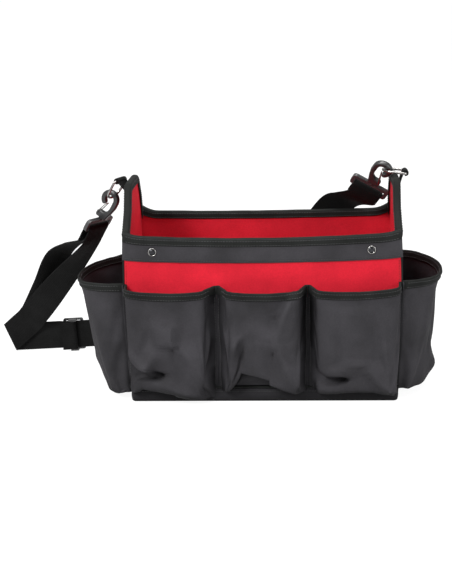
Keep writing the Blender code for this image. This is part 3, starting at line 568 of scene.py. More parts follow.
def settle(p):
    """Where a point of the bag settles to: rims dip, walls belly out, ends bow, corners stand up."""
    x, y, z = p
    rise = clamp(z / RIM_HEIGHT)
    along = clamp(1 - (x / (LENGTH / 2)) ** 2)
    side = clamp((abs(y) - 55) / 35)
    front = y < 0
    belly = BELLY * side * along * math.sin(math.pi * rise ** 1.2)
    near_corner = clamp((abs(x) - (LENGTH / 2 - CORNER_SPAN)) / CORNER_SPAN)
    end = clamp((abs(x) - 150) / 55) ** 2
    bow = END_BOW * end * math.sin(math.pi * clamp(z / 300))
    z -= (FRONT_DIP if front else BACK_DIP) * side * along * rise ** 3
    lift = FRONT_CORNER_RISE if front else BACK_CORNER_RISE
    z += lift * clamp((abs(y) - 80) / 8) * near_corner ** 2 * rise ** 6
    y += math.copysign(belly, y)
    x += math.copysign(bow, x)
    return Vector((x, y, z))


def on_wall(side):
    """The function that turns (across, height, outward) on a wall into a settled point."""
    if side == "front":
        return lambda a, h, d: settle((a, -long_wall_y(h) - d, h))
    if side == "back":
        return lambda a, h, d: settle((-a, long_wall_y(h) + d, h))
    if side == "right":
        return lambda a, h, d: settle((end_wall_x(h) + d, a, h))
    return lambda a, h, d: settle((-end_wall_x(h) - d, -a, h))


def gable_half(height):
    return long_wall_y(height) - WALL_THICK - BINDING - 2 * GAP


def gable_edge():
    """The free edge of an end wall, from the rim at one side over the peak to the other."""
    top = PEAK_HEIGHT - BINDING - GAP
    start = (gable_half(WALL_TOP), WALL_TOP)
    corner = (GABLE_TOP_HALF + 12.0, top)
    slope = math.degrees(math.atan2(corner[1] - start[1], corner[0] - start[0]))
    reach = GABLE_RADIUS * math.tan(math.radians((180.0 - slope) / 2))
    centre = (corner[0] - reach, top - GABLE_RADIUS)
    right = [start, *arc(centre, GABLE_RADIUS, slope - 90.0, 90.0, 10)]
    return right + [(-a, h) for a, h in reversed(right)]


GABLE = gable_edge()


def wall_half(ends, height):
    """Half width of a wall at a height."""
    if not ends:
        return end_wall_x(height)
    if height <= GABLE[0][1]:
        return gable_half(height)
    for (a, h), (b, k) in zip(GABLE, GABLE[1:len(GABLE) // 2]):
        if h <= height <= k:
            return a + (b - a) * (height - h) / max(k - h, 1e-6)
    return GABLE[len(GABLE) // 2 - 1][0]


def crumple(a, h, seed, strength):
    """Soft creases in standing cloth: long shallow ones and a few short ones."""
    long_ones = ripple(a / 70, h / 48, seed) * 1.5
    short_ones = ripple(a / 24, h / 30, seed + 3) * 0.5
    return (long_ones + short_ones) * strength


def build_walls(red_stitches):
    """Each wall's outer cloth, board and lining. The outer cloth is black behind the pockets."""
    layers = (
        ("panel", RED, 0.0, OUTER_FABRIC, 1.0, 0.9),
        ("board", BOARD_MATERIAL, BOARD_FACE, BOARD, 0.0, 0.0),
        ("lining", RED, LINING_FACE, LINING, -1.0, 1.1),
    )
    for n, side in enumerate(("front", "back", "left", "right")):
        ends = side in ("left", "right")
        place = on_wall(side)
        label = f"{side}_end" if ends else side
        top = PEAK_HEIGHT - BINDING - GAP - 0.2 if ends else WALL_TOP
        levels = [WALL_BOTTOM + (top - WALL_BOTTOM) * i / 52 for i in range(53)]
        if ends:
            levels = sorted(levels + [h + 0.01 for _, h in GABLE[1:len(GABLE) // 2]])
        split = next(i for i, h in enumerate(levels) if h > LOWER_CLOTH_TOP)
        columns = 36 if ends else 72
        wide = 2 * (gable_half(WALL_BOTTOM) if ends else WALL_X)
        for layer, material, near, thick, way, strength in layers:
            rows = []
            for h in levels:
                half = wall_half(ends, h) - (0 if ends else CORNER_LAP)
                if ends and layer == "panel" and h < WALL_TOP - 0.6:
                    half = long_wall_y(h) - 0.4
                row = []
                for j in range(columns + 1):
                    a = half * (2 * j / columns - 1)
                    edge = clamp((half - abs(a)) / 18) * clamp((h - 24) / 25) * clamp((top - h) / 16)
                    puff = abs(crumple(a, h, n * 5 + len(layer), strength)) * edge * way
                    row.append(place(a, h, puff - near - thick / 2))
                rows.append(row)
            parts = [(layer, material, rows, top - WALL_BOTTOM)]
            if layer == "panel":
                parts = [("lower", BLACK, rows[:split + 1], levels[split] - WALL_BOTTOM),
                         ("panel", RED, rows[split:], top - levels[split])]
            for part, look, part_rows, tall in parts:
                made = sheet(f"{label}_{part}_cloth", part_rows, thick, look)
                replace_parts(made, f"{label}_{layer}")
        if not ends:
            for sign, end in ((-1, "left"), (1, "right")):
                seam = [place(sign * (end_wall_x(h) - 1.0), h, 0.4) for h in range(28, 256, 6)]
                tube(f"{side}_corner_seam_{end}", seam, 1.4, 8, TAPE)
                spots = [(sign * (end_wall_x(h) - 5), h, 0.35) for h in range(28, 228, 6)]
                red_stitches.seam(place, spots, 1.15)


def tape_section(inner, outer):
    """Tape folded over an edge with softly rounded folds, as (outward, height) points from its outer hem."""
    hem = -BINDING_WIDTH
    swell = BINDING * 1.15
    outside = [(0.0, hem), (BINDING * 0.7, hem + 0.2), (BINDING, hem + 0.9), (swell, hem * 0.55),
               (BINDING, -2.2)]
    middle = (outer + inner) / 2
    reach = (outer - inner) / 2 + BINDING
    turns = [math.pi * k / 8 for k in range(1, 8)]
    section = [(outer + d, h) for d, h in outside]
    section += [(middle + reach * math.cos(t), -2.0 + 2.9 * math.sin(t)) for t in turns]
    section += [(inner - d, h) for d, h in reversed(outside)]
    return section + [(inner, -1.6), (middle, -0.6), (outer, -1.6)]


def tape(name, loops, node):
    """Tape folded over an edge, through its sections."""
    made = loft(name, loops, TAPE)
    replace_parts(made, node)


def build_rims(stitches):
    """The long walls' bands and bound rims, and the bound edges of the end walls."""
    bottom = RIM_HEIGHT - TOP_BAND_HEIGHT
    reach = end_wall_x(bottom) + 0.8
    section = tape_section(-WALL_THICK - GAP - 1.0, 3.1)
    along_rim = range(-208, 209, 4)
    for side, seed in (("front", 9), ("back", 11)):
        place = on_wall(side)
        rows = []
        for i in range(13):
            h = bottom + (WALL_TOP - bottom) * i / 12
            low = clamp((RIM_HEIGHT - 14 - h) / 20)
            rows.append([place(reach * (2 * j / 84 - 1), h,
                               2.4 + 0.7 * low * abs(ripple(j * 0.31, h / 30, 5)) - 0.9 * (i == 0))
                         for j in range(85)])
        made = sheet(f"{side}_band_cloth", rows, 1.2, BLACK)
        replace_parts(made, f"{side}_top_band")
        stitches.seam(place, [(a, bottom + 3.2, 3.15) for a in along_rim])
        loops = []
        for j in range(106):
            a = reach * (2 * j / 105 - 1)
            wander = 0.5 * ripple(a / 35, 0, seed)
            loops.append([place(a, WALL_TOP + 0.4 + h + wander * (1 if h > -4 else 0.6), d)
                          for d, h in section])
        tape(f"{side}_rim_tape", loops, f"{side}_rim_binding")
        for h in (-10.6, -3.4):
            for d, out in ((4.25, 1), (-WALL_THICK - GAP - 2.15, -1)):
                stitches.seam(place, [(a, WALL_TOP + 0.4 + h, d) for a in along_rim], out)
    edge = smooth_edge()
    section = tape_section(-WALL_THICK - 1.5, 1.5)
    for side in ("left", "right"):
        place = on_wall(side)
        loops = []
        lines = {(o, face): [] for face in (1, -1) for o in (-10.4, -3.2)}
        for i, (p, along) in enumerate(zip(edge, headings(edge))):
            out = Vector((along.y, -along.x))
            wander = 0.4 * ripple(i / 6, 0, 21)
            loops.append([place(*(p + out * (o + wander)), d) for d, o in section])
            for (o, face), line in lines.items():
                line.append((*(p + out * o), 2.65 if face > 0 else -WALL_THICK - 2.65))
        tape(f"{side}_end_tape", loops, f"{side}_end_binding")
        for (_, face), line in lines.items():
            stitches.seam(place, line, face)


def smooth_edge():
    """The bound stretch of a gable's edge, in short steps, starting down inside the long walls' corners."""
    points = [Vector(p) for p in GABLE]
    points[0] -= (points[1] - points[0]).normalized() * 4
    points[-1] -= (points[-2] - points[-1]).normalized() * 4
    found = []
    for p, q in zip(points, points[1:]):
        steps = max(1, round((q - p).length / 4))
        found += [p.lerp(q, k / steps) for k in range(steps)]
    return found + [points[-1]]


# Base, pockets and studs


def rounded_loop(half_x, half_y, corner, z, steps=5):
    points = []
    for cx, cy, start in ((1, 1, 0), (-1, 1, 90), (-1, -1, 180), (1, -1, 270)):
        for x, y in arc((cx * (half_x - corner), cy * (half_y - corner)), corner, start, start + 90, steps):
            points.append((x, y, z))
    filled = []
    for (x, y, z), (u, v, _) in zip(points, points[1:] + points[:1]):
        steps = 1 if math.hypot(u - x, v - y) < 20 else 46 if abs(u - x) > abs(v - y) else 24
        filled += [(x + (u - x) * k / steps, y + (v - y) * k / steps, z) for k in range(steps)]
    return filled


def build_base(stitches):
    """The cloth base with its upstand, the piping round it and the floor inside."""
    half_x, half_y = LENGTH / 2, DEPTH / 2
    shape = ((-5.0, 0.3, 5.0), (-1.8, 0.4, 5.0), (-0.3, 2.0, 5.0), (0.3, 6.0, 4.6), (0.7, 12.0, 4.4),
             (0.2, 18.0, 4.2), (-0.5, 21.4, 4.0), (-1.6, 21.6, 3.0))
    loops = []
    for grow, z, corner in shape:
        loop = []
        for x, y, _ in rounded_loop(half_x, half_y, corner, z):
            wave = grow + 0.35 * ripple(x / 28, y / 28 + z / 30, 31) * clamp(z / 6)
            loop.append(Vector((x * (1 + wave / half_x), y * (1 + wave / half_y), z)))
        loops.append(loop)
    loops.append([Vector((x * (half_x - 2.0) / half_x, y * (half_y - 2.0) / half_y, BASE_FLOOR))
                  for x, y, _ in rounded_loop(half_x, half_y, 4.0, BASE_FLOOR)])
    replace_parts(loft("base_cloth", loops, BLACK), "base_tray")
    piping_z = BASE_UPSTAND + PIPING_RADIUS + 2 * GAP
    path = [settle(p) for p in rounded_loop(half_x - 0.2, half_y - 1.2, 1.6, piping_z, 4)]
    made = tube("base_piping_cord", path, PIPING_RADIUS * 0.95, 10, TAPE, ring=True)
    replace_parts(made, "base_piping")
    loop = rounded_loop(half_x + 0.35, half_y + 0.35, 4.2, 17.6)
    line = []
    for x, y, z in loop + loop[:1]:
        out = Vector((x if abs(x) > half_x - 1 else 0, y if abs(y) > half_y - 1 else 0, 0))
        p = Vector((x, y, z))
        line.append((p, p + (out if out.length else Vector((x, y, 0))).normalized()))
    stitches.row(line)
    board_x = end_wall_x(0) - WALL_THICK - 2 * GAP - 0.4
    board_y = long_wall_y(2 * BASE_FLOOR) - WALL_THICK - 2 * GAP - 0.4
    loops = [[Vector(p) for p in rounded_loop(board_x - inset, board_y - inset, 5.0, z)]
             for inset, z in ((3.0, 3.4), (0.6, 3.7), (0.0, 4.6), (0.5, 5.9), (3.0, 6.4), (9.0, 6.5))]
    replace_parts(loft("base_board_cloth", loops, RED), "base_board")


class Profile:
    """A pocket's section from its bottom seam at 0 to its rim at 1, as (depth, height) points."""

    def __init__(self, points):
        self.points = smooth_path([Vector(p) for p in points], 8)
        self.marks = marks_along(self.points)
        self.length = self.marks[-1]
        self.lip = self.marks[8] / self.length

    def at(self, share):
        i, t = locate(self.marks, clamp(share) * self.length)
        return self.points[i].lerp(self.points[i + 1], t)


def along_points(points, x):
    """The height at x of a line through (x, height) points."""
    for (x0, y0), (x1, y1) in zip(points, points[1:]):
        if x <= x1:
            return y0 + (y1 - y0) * clamp((x - x0) / (x1 - x0))
    return points[-1][1]


def fold_height(fold, a, z):
    """How far a fold in the cloth stands out at a point: steep on its right side, gentle on its left."""
    points, height, left, right = fold
    best = 0.0
    for k, ((x0, z0), (x1, z1)) in enumerate(zip(points, points[1:])):
        dx, dz = x1 - x0, z1 - z0
        length = math.hypot(dx, dz)
        t = ((a - x0) * dx + (z - z0) * dz) / length ** 2
        side = ((z - z0) * dx - (a - x0) * dz) / length
        beyond = max(0.0, -t, t - 1) * length
        width = left if side > 0 else right
        best = max(best, math.exp(-(side / width) ** 2 - (beyond / 16) ** 2))
    return best * height


class Pocket:
    """A gathered pocket, shaped on its flat wall as (across, outward, height) and then hung by simulation."""

    def __init__(self, side, label, centre, width, profile, powers, lean=0.0, hem=((-1, 25), (1, 25)),
                 insets=(3, 3), notch=None, folds=(), dip=(0.0, 3.0), gather=0.014, seed=1):
        self.name = f"{side}_{label}_pocket"
        self.place = on_wall(side)
        self.side, self.centre, self.width, self.profile = side, centre, width, Profile(profile)
        self.powers, self.lean, self.hem, self.insets = powers, lean, hem, insets
        self.notch, self.folds, self.dip, self.gather, self.seed = notch, folds, dip, gather, seed

    def local(self, across, up):
        """A point from its share of the way round the pocket and of the way up."""
        depth, z = self.profile.at(up)
        power = self.powers[0] + (self.powers[1] - self.powers[0]) * clamp((z - 24) / 150)
        c, s = math.cos(math.pi * across), math.sin(math.pi * across)
        flat = -math.copysign(abs(c) ** (2 / power), c)
        forward = abs(s) ** (2 / power)
        rise = along_points(self.hem, flat) - self.hem[0][1]
        under = clamp(up / self.profile.lip)
        if under < 1:
            depth *= 1 - 0.75 * clamp(rise / 20)
        z += rise * under * clamp((150 - z) / 115)
        a = flat * self.width / 2 + self.lean * forward
        a -= math.copysign(self.insets[0 if flat < 0 else 1], flat) * clamp(forward * 1.5)
        d = depth * forward
        if self.notch:
            side, height, size, reach = self.notch
            near = math.exp(-((z - height) / reach) ** 2) * forward * clamp((side * flat - 0.1) / 0.6)
            a -= side * size * near
            d -= 0.5 * size * near
        fade = clamp(forward * depth / 12) * clamp((1 - up) / 0.12) * under
        d += (sum(fold_height(f, a, z) for f in self.folds) - HOLLOW + crumple(a, z, self.seed, 0.7)) * fade
        z -= (self.dip[0] + self.dip[1] * (1 - flat * flat)) * clamp((up - 0.8) / 0.2)
        return Vector((a, max(0.0, d), z))

    def outline(self):
        """The pocket's rows from seam to rim, with a flat flange down each side."""
        low = self.profile.lip
        ups = [low * k / 6 for k in range(6)] + [low + (1 - low) * k / 46 for k in range(47)]
        rows = []
        for up in ups:
            row = [self.local(j / POCKET_COLUMNS, up) for j in range(POCKET_COLUMNS + 1)]
            rows.append([Vector((row[0].x - POCKET_FLANGE, 0.0, row[0].z)), *row,
                         Vector((row[-1].x + POCKET_FLANGE, 0.0, row[-1].z))])
        return rows

    def hang(self, rows):
        """Lets the gathered cloth swell and drop inside its seams, moving no point further than a cap."""
        count, width = len(rows), len(rows[0])
        faces = [(a, a + 1, a + width + 1, a + width)
                 for i in range(count - 1) for a in range(i * width, (i + 1) * width - 1)]
        mesh = bpy.data.meshes.new("hanging")
        mesh.from_pydata([p * MM for row in rows for p in row], [], faces)
        hanging = bpy.data.objects.new("hanging", mesh)
        scene = bpy.context.scene
        scene.collection.objects.link(hanging)
        held = hanging.vertex_groups.new(name="seams")
        for i in range(count):
            for j in range(width):
                seam = i < 2 or j < 2 or j > width - 3
                held.add([i * width + j], 1.0 if seam else clamp((i - count + 8) / 6), "REPLACE")
        cloth = hanging.modifiers.new("cloth", "CLOTH")
        for key, value in HANG_SETTINGS.items():
            setattr(cloth.settings, key, value)
        cloth.settings.shrink_min = -self.gather
        cloth.collision_settings.use_collision = False
        cloth.point_cache.frame_end = HANG_FRAMES
        for number in range(1, HANG_FRAMES + 1):
            scene.frame_set(number)
        hung = hanging.evaluated_get(bpy.context.evaluated_depsgraph_get()).to_mesh()
        moves = [[hung.vertices[i * width + j].co / MM - p for j, p in enumerate(row)]
                 for i, row in enumerate(rows)]
        bpy.data.objects.remove(hanging, do_unlink=True)
        scene.frame_set(1)
        for _ in range(HANG_SMOOTHING):
            moves = [[(moves[i][j] * 2 + moves[max(i - 1, 0)][j] + moves[min(i + 1, count - 1)][j]
                       + moves[i][max(j - 1, 0)] + moves[i][min(j + 1, width - 1)]) / 6
                      for j in range(width)] for i in range(count)]
        found = []
        for row, shifts in zip(rows, moves):
            line = []
            for p, move in zip(row, shifts):
                q = p + move * min(1.0, HANG_CAP / max(move.length, 1e-6))
                line.append(Vector((q.x, max(min(0.3, p.y), q.y), q.z)))
            found.append(line)
        return found

    def build(self, stitches):
        rows = [[self.place(self.centre + a, z, GAP + POCKET_WALL / 2 + d) for a, d, z in row]
                for row in self.hang(self.outline())]
        round_rim = marks_along(rows[-1])[-1]
        made = sheet(f"{self.name}_cloth", rows, POCKET_WALL, BLACK)
        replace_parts(made, self.name)
        outs = grid_normals(rows)
        outward = self.place(self.centre, 100, 50) - self.place(self.centre, 100, 0)
        if outs[len(rows) // 2][len(rows[0]) // 2].dot(outward) < 0:
            outs = [[-n for n in line] for line in outs]
        for j in (1, len(rows[0]) - 2):
            line = [row[j] + out[j] * POCKET_WALL / 2 for row, out in zip(rows[8:-4], outs[8:-4])]
            stitches.row([(p, p + out[j]) for p, out in zip(line, outs[8:-4])])
        self.build_rim(rows, outs, stitches)

    def build_rim(self, rows, outs, stitches):
        half = POCKET_WALL / 2 + 0.25
        section = tape_section(-half, half)
        loops = []
        lines = {(h, face): [] for face in (1, -1) for h in (-10.3, -3.2)}
        for j, top in enumerate(rows[-1]):
            wander = 0.5 * ripple(j / 5, 0, self.seed + 40)
            down = (rows[-4][j] - top).normalized()
            out = outs[-2][j]
            out = (out - down * out.dot(down)).normalized()
            loops.append([top + out * d - down * (h + 0.6 + wander * (1 if h > -4 else 0.5))
                          for d, h in section])
            for (h, face), line in lines.items():
                base = top + out * (half + BINDING * 1.15) * face - down * (h + 0.6)
                line.append((base, base + out * face))
        tape(f"{self.name}_rim_tape", loops,
             f"{self.name}_binding")
        for (_, face), line in lines.items():
            if face > 0 or self.side != "back":
                stitches.row(line[2:-2])


def build_pockets(stitches):
    """Each long wall has three pockets. The back ones sit like the front ones, seen from behind."""
    looks = {
        "left": {
            "hem": ((-1, 25), (-0.75, 38), (-0.2, 33), (0.4, 24), (1, 15)),
            "insets": (-1, 13),
            "notch": (-1, 57, 30, 9),
            "folds": ((((-8, 122), (30, 78), (60, 28)), 16, 19, 6), (((-8, 122), (-40, 66)), 12, 8, 12),
                      (((-12, 186), (-8, 122)), 6, 12, 18), (((-62, 88), (-20, 44), (20, 28)), 7, 8, 8)),
        },
        "centre": {
            "hem": ((-1, 25), (-0.66, 66), (-0.2, 59), (0.97, 25)),
            "insets": (11, 8),
            "folds": ((((45, 180), (15, 112), (36, 66), (62, 30)), 15, 17, 6),
                      (((-46, 104), (-60, 34)), 11, 9, 12),
                      (((-10, 140), (-46, 104)), 7, 12, 10)),
        },
        "right": {
            "hem": ((-1, 25), (-0.1, 32), (0.5, 32), (0.85, 25), (1, 20)),
            "insets": (8, 2),
            "notch": (-1, 47, 28, 8.5),
            "folds": ((((10, 150), (13, 70), (54, 30)), 15, 20, 6), (((-42, 52), (-10, 66)), 9, 9, 9)),
        },
    }
    for side in ("front", "back"):
        for n, label in enumerate(("left", "centre", "right")):
            across = LONG_POCKET_CENTRES[n] * (1 if side == "front" else -1)
            Pocket(side, label, across, LONG_POCKET_WIDTHS[n], LONG_POCKET_PROFILE, (5.0, 8.0),
                   dip=(1.0, 3.5), seed=n * 2 + (1 if side == "front" else 8), **looks[label]).build(stitches)
    left_folds = ((((-60, 70), (-20, 40), (10, 24)), 5, 12, 10), (((60, 60), (10, 30)), 4, 12, 10))
    right_folds = ((((-58, 150), (-52, 60), (-30, 26)), 6, 16, 10), (((-20, 60), (-44, 34)), 5, 10, 10))
    Pocket("left", "end", 0, END_POCKET_WIDTH, LEFT_POCKET_PROFILE, (3.4, 2.3), lean=16, insets=(4, 4),
           folds=left_folds, gather=0.008, seed=15).build(stitches)
    Pocket("right", "end", 0, END_POCKET_WIDTH, RIGHT_POCKET_PROFILE, (3.4, 2.3), lean=6, insets=(4, 4),
           folds=right_folds, gather=0.008, seed=17).build(stitches)


def build_studs():
    """Press studs: a dark cap with a bright rolled ring round it."""
    cap = STUD_DIAMETER / 2
    ring = ((cap - 2.2, 0.1), (cap - 0.7, 0.15), (cap, 0.7), (cap - 0.15, 1.5), (cap - 0.8, 2.0),
            (cap - 1.5, 1.9), (cap - 1.9, 1.3))
    dome = ((cap - 1.4, 0.2), (cap - 1.75, 1.1), (cap - 1.9, 1.35), (cap - 2.6, 1.9), (cap - 3.8, 2.4),
            (1.6, 2.7), (0.5, 2.75))
    place = on_wall("front")
    for label, x in (("left", -STUD_X), ("right", STUD_X)):
        origin = place(x, STUD_Z, 2.9)
        out = (place(x, STUD_Z, 3.9) - origin).normalized()
        across = (place(x + 1, STUD_Z, 2.9) - origin).normalized()
        up = out.cross(across)
        for part, profile, material in (("ring", ring, NICKEL), ("cap", dome, GUNMETAL)):
            loops = [[origin + across * u + up * v + out * level for u, v in circle(r, 40)]
                     for r, level in profile]
            made = loft(f"{label}_stud_{part}", loops, material)
            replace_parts(made, f"front_{label}_stud")


# Rings and hooks


def tipped(pull, degrees):
    """The way something hangs when it is pulled aside by an angle."""
    lean = math.radians(degrees)
    return pull * math.sin(lean) - Vector((0, 0, 1)) * math.cos(lean)


class Hardware:
    """Where one side's ring, hook and swivel are at rest."""

    def __init__(self, pivot, pull, ring_lean, hook_axis, seat, hand, bar_turn=None):
        self.pivot, self.pull = pivot, pull
        self.axis = Vector((-pull.y, pull.x, 0)) * hand      # the ring's bar
        self.ring_way = tipped(pull, ring_lean)              # from the ring's bar to its bow
        self.hook_axis = hook_axis                           # from the swivel to the hook's nose
        self.hook_normal = (self.axis - hook_axis * self.axis.dot(hook_axis)).normalized()
        self.hook_across = self.hook_normal.cross(hook_axis) * hand
        self.slot = pivot + self.ring_way * RING_DEPTH - self.hook_across * seat[0] - hook_axis * seat[1]
        self.bar_way = self.hook_across                      # across the webbing
        if bar_turn is not None:
            self.bar_way = Matrix.Rotation(math.radians(bar_turn), 3, hook_axis) @ self.axis
        self.bar_normal = self.bar_way.cross(hook_axis).normalized()

    def hook_point(self, w, height, n):
        return self.slot + self.hook_across * w + self.hook_axis * height + self.hook_normal * n

    def bar_point(self, w, height, n):
        return self.slot + self.bar_way * w + self.hook_axis * height + self.bar_normal * n


LEFT = Hardware(LEFT_PIVOT, LEFT_PULL, LEFT_RING_LEAN, -tipped(LEFT_PULL, LEFT_HOOK_LEAN), LEFT_SEAT, -1,
                LEFT_SWIVEL_TURN)
RIGHT = Hardware(RIGHT_PIVOT, Vector((1, 0, 0)), RIGHT_RING_LEAN, RIGHT_HOOK_AXIS, RIGHT_SEAT, 1)
HARDWARE = {"left": LEFT, "right": RIGHT}


def hook_outline():
    """The hook from the side, from its shoulder up the spine and round the bow to the tip."""
    centre, inner, outer = HOOK_EYE_CENTRE, HOOK_EYE, HOOK_EYE + HOOK_BAND
    middle, half = (inner + outer) / 2, HOOK_BAND / 2
    tip = -50.0
    c, s = math.cos(math.radians(tip)), math.sin(math.radians(tip))
    points = [(-9.0, HOOK_SHOULDER), (9.0, HOOK_SHOULDER), (11.0, 15.0), (11.0, 21.0), (8.5, 24.0)]
    points += [(-1.0, 25.0), (-5.5, 29.0), (-inner, 36.0)]
    points += arc((0, centre), inner, 180, tip, 14)
    points += arc((middle * c, centre + middle * s), half, tip - 180, tip, 5)[1:-1]
    points += arc((0, centre), outer, tip, 180, 14)
    points += [(-outer, 40.0), (-13.0, 27.0), (-10.5, 20.0)]
    return points


def dense(outline, step):
    """The same closed outline with points no further apart than step."""
    found = []
    for (x, y), (u, v) in zip(outline, outline[1:] + outline[:1]):
        count = max(1, round(math.hypot(u - x, v - y) / step))
        found += [(x + (u - x) * k / count, y + (v - y) * k / count) for k in range(count)]
    return found


def build_rings():
    half, corner = RING_HALF_WIDTH, 3.0
    outline = arc((half - corner, corner), corner, -90, 0, 6)
    outline += arc((0, RING_DEPTH - half), half, 0, 180, 32)
    outline += arc((-half + corner, corner), corner, 180, 270, 6)
    outline += [(-half + corner + 4.0 * k, 0.0) for k in range(1, 7)]
    for side, hw in HARDWARE.items():
        path = [hw.pivot + hw.axis * u + hw.ring_way * v for u, v in outline]
        made = tube(f"{side}_ring_wire", path, RING_WIRE, 20, NICKEL, f"{side}_ring", True,
                    hw.axis.cross(hw.ring_way))
        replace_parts(made, f"{side}_d_ring")


def build_hooks():
    """The hooks: a moulded bow of rounded section that swells at the shoulder."""
    outline = dense(hook_outline(), 2.2)
    steps = ((-1.0, 2.3), (-0.93, 1.15), (-0.72, 0.35), (-0.4, 0.0), (0.4, 0.0), (0.72, 0.35), (0.93, 1.15),
             (1.0, 2.3))
    for side, hw in HARDWARE.items():
        loops = []
        for level, inset in steps:
            loop = []
            for i, (u, v) in enumerate(outline):
                along = (Vector(outline[(i + 2) % len(outline)]) - Vector(outline[i - 2])).normalized()
                shrink = inset * (0.35 if v < HOOK_SHOULDER + 1 else 1.0)
                loop.append(hw.hook_point(u - along.y * shrink, v + along.x * shrink, level * HOOK_THICK / 2))
            loops.append(loop)
        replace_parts(loft(f"{side}_hook_body", loops, PLASTIC, f"{side}_hook"), f"{side}_hook")


# Webbing


class Run:
    """A smooth stretch of webbing through (centre, across) stations, measured along its length."""

    def __init__(self, stations):
        places = [Vector(p) for p, _ in stations]
        acrosses = [Vector(w).normalized() for _, w in stations]
        marks = marks_along(places)
        last = len(places) - 1
        slopes = []
        for i in range(last + 1):
            a, b = max(i - 1, 0), min(i + 1, last)
            slopes.append((places[b] - places[a]) / (marks[b] - marks[a]))
        self.places, self.acrosses = [], []
        for i in range(last):
            span = (places[i + 1] - places[i]).length
            steps = max(2, int(span / 2))
            for k in range(steps + (i == last - 1)):
                t = k / steps
                a, b = 2 * t ** 3 - 3 * t * t + 1, t ** 3 - 2 * t * t + t
                c, d = 3 * t * t - 2 * t ** 3, t ** 3 - t * t
                self.places.append(places[i] * a + slopes[i] * (b * span)
                                   + places[i + 1] * c + slopes[i + 1] * (d * span))
                self.acrosses.append(acrosses[i].lerp(acrosses[i + 1], t))
        self.marks = marks_along(self.places)
        self.length = self.marks[-1]

    def point(self, s, v, lift):
        """The point at distance s, v across the webbing and lift above its middle."""
        i, t = locate(self.marks, clamp(s, 0.0, self.length))
        along = (self.places[i + 1] - self.places[i]).normalized()
        across = self.acrosses[i].lerp(self.acrosses[i + 1], t)
        across = (across - along * across.dot(along)).normalized()
        return self.places[i].lerp(self.places[i + 1], t) + across * v + along.cross(across) * lift


RISE = math.radians(STRAP_RISE)
AFTER_FOLD = Vector((math.cos(RISE), 0, math.sin(RISE)))
AFTER_ACROSS = Vector((math.sin(RISE), 0, -math.cos(RISE)))
BEFORE_FOLD = FOLD_LINE * 2 * FOLD_LINE.dot(AFTER_FOLD) - AFTER_FOLD
BEFORE_ACROSS = FOLD_LINE * 2 * FOLD_LINE.dot(AFTER_ACROSS) - AFTER_ACROSS
FOLD_FORWARD = (BEFORE_FOLD - FOLD_LINE * BEFORE_FOLD.dot(FOLD_LINE)).normalized()
BACKWARD = Vector((0, 1, 0))


def fold_point(s, v, lift, radius):
    """A point of webbing folded over a slanting line: flat, round the fold, and flat again."""
    flat = BEFORE_FOLD * s + BEFORE_ACROSS * v
    q, a = flat.dot(FOLD_FORWARD), flat.dot(FOLD_LINE)
    quarter = math.pi * radius / 2
    place = FOLD + FOLD_LINE * a
    if q < -quarter:
        return place + FOLD_FORWARD * (q + quarter) - BACKWARD * (radius + lift)
    if q > quarter:
        return place - FOLD_FORWARD * (q - quarter) + BACKWARD * (radius + lift)
    t = q / radius
    return place + (FOLD_FORWARD * math.cos(t) + BACKWARD * math.sin(t)) * (radius + lift)


class Layer:
    """One layer of the strap: a run to the fold, the fold, and a run away from it. s is 0 at the fold."""

    def __init__(self, radius, before, after):
        self.radius = radius
        self.before, self.after = Run(before), Run(after)
        self.start = -FOLD_HALF - self.before.length
        self.end = FOLD_HALF + self.after.length

    def point(self, s, v, lift):
        if s < -FOLD_HALF:
            return self.before.point(s - self.start, v, lift)
        if s > FOLD_HALF:
            return self.after.point(s - FOLD_HALF, v, lift)
        return fold_point(s, v, lift, self.radius)


ACROSS = [WEBBING * (k / 8 - 0.5) for k in range(9)]


def strap_layer(radius, side, bulges, beyond):
    """A layer from the left swivel's bar to the fold, and on past the slider through the stations beyond."""
    bar = LEFT.bar_point(0, SWIVEL_BAR_CENTRE, side * LOOP_RADIUS)
    away = -LEFT.hook_axis
    into = fold_point(-FOLD_HALF, 0, 0, radius)
    before = [(bar + away * t, LEFT.bar_way) for t in (0, 15, 30)]
    before += [((bar + away * 30).lerp(into - BEFORE_FOLD * 12, share) - LEFT.bar_normal * bulge,
                LEFT.bar_way.lerp(BEFORE_ACROSS, share)) for share, bulge in bulges]
    before += [(into - BEFORE_FOLD * t, BEFORE_ACROSS) for t in (12, 0)]
    out = fold_point(FOLD_HALF, 0, 0, radius)
    reach = SLIDER_RUN + 45.0 - FOLD_HALF
    after = [(out + AFTER_FOLD * t, AFTER_ACROSS) for t in (0.0, 50.0, reach - 15, reach)]
    return Layer(radius, before, [*after, *beyond])


RIGHT_END = RIGHT.bar_point(0, SWIVEL_BAR_CENTRE, LOOP_RADIUS)
MAIN = strap_layer(MAIN_RADIUS, 1, ((0.45, 0.0),), (
    *STRAP_ROUTE, *((RIGHT_END - RIGHT.hook_axis * t, RIGHT.bar_way) for t in (18, 9, 0))))
RETURN = strap_layer(RETURN_RADIUS, -1, ((0.1, 15.0), (0.3, 27.0), (0.62, 11.0)), ())


def webbing_strip(name, rows, rests_on, *nodes):
    """Webbing through rows, each a function from (across, lift) to a point."""
    half = WEBBING_THICK / 2
    edge = WEBBING / 2
    spots = [(v, half * (0.8 if abs(v) == edge else 1.0)) for v in ACROSS]
    loops = [[row(-edge, 0.0), *(row(v, t) for v, t in spots), row(edge, 0.0),
              *(row(v, -t) for v, t in reversed(spots))] for row in rows]
    made = loft(name, loops, WEB, None)
    length = marks_along([row(0.0, 0.0) for row in rows])[-1]
    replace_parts(made, *nodes)
    return made


def square(s):
    """A row straight across the webbing. A row is its distance along and its slant."""
    return s, 0.0


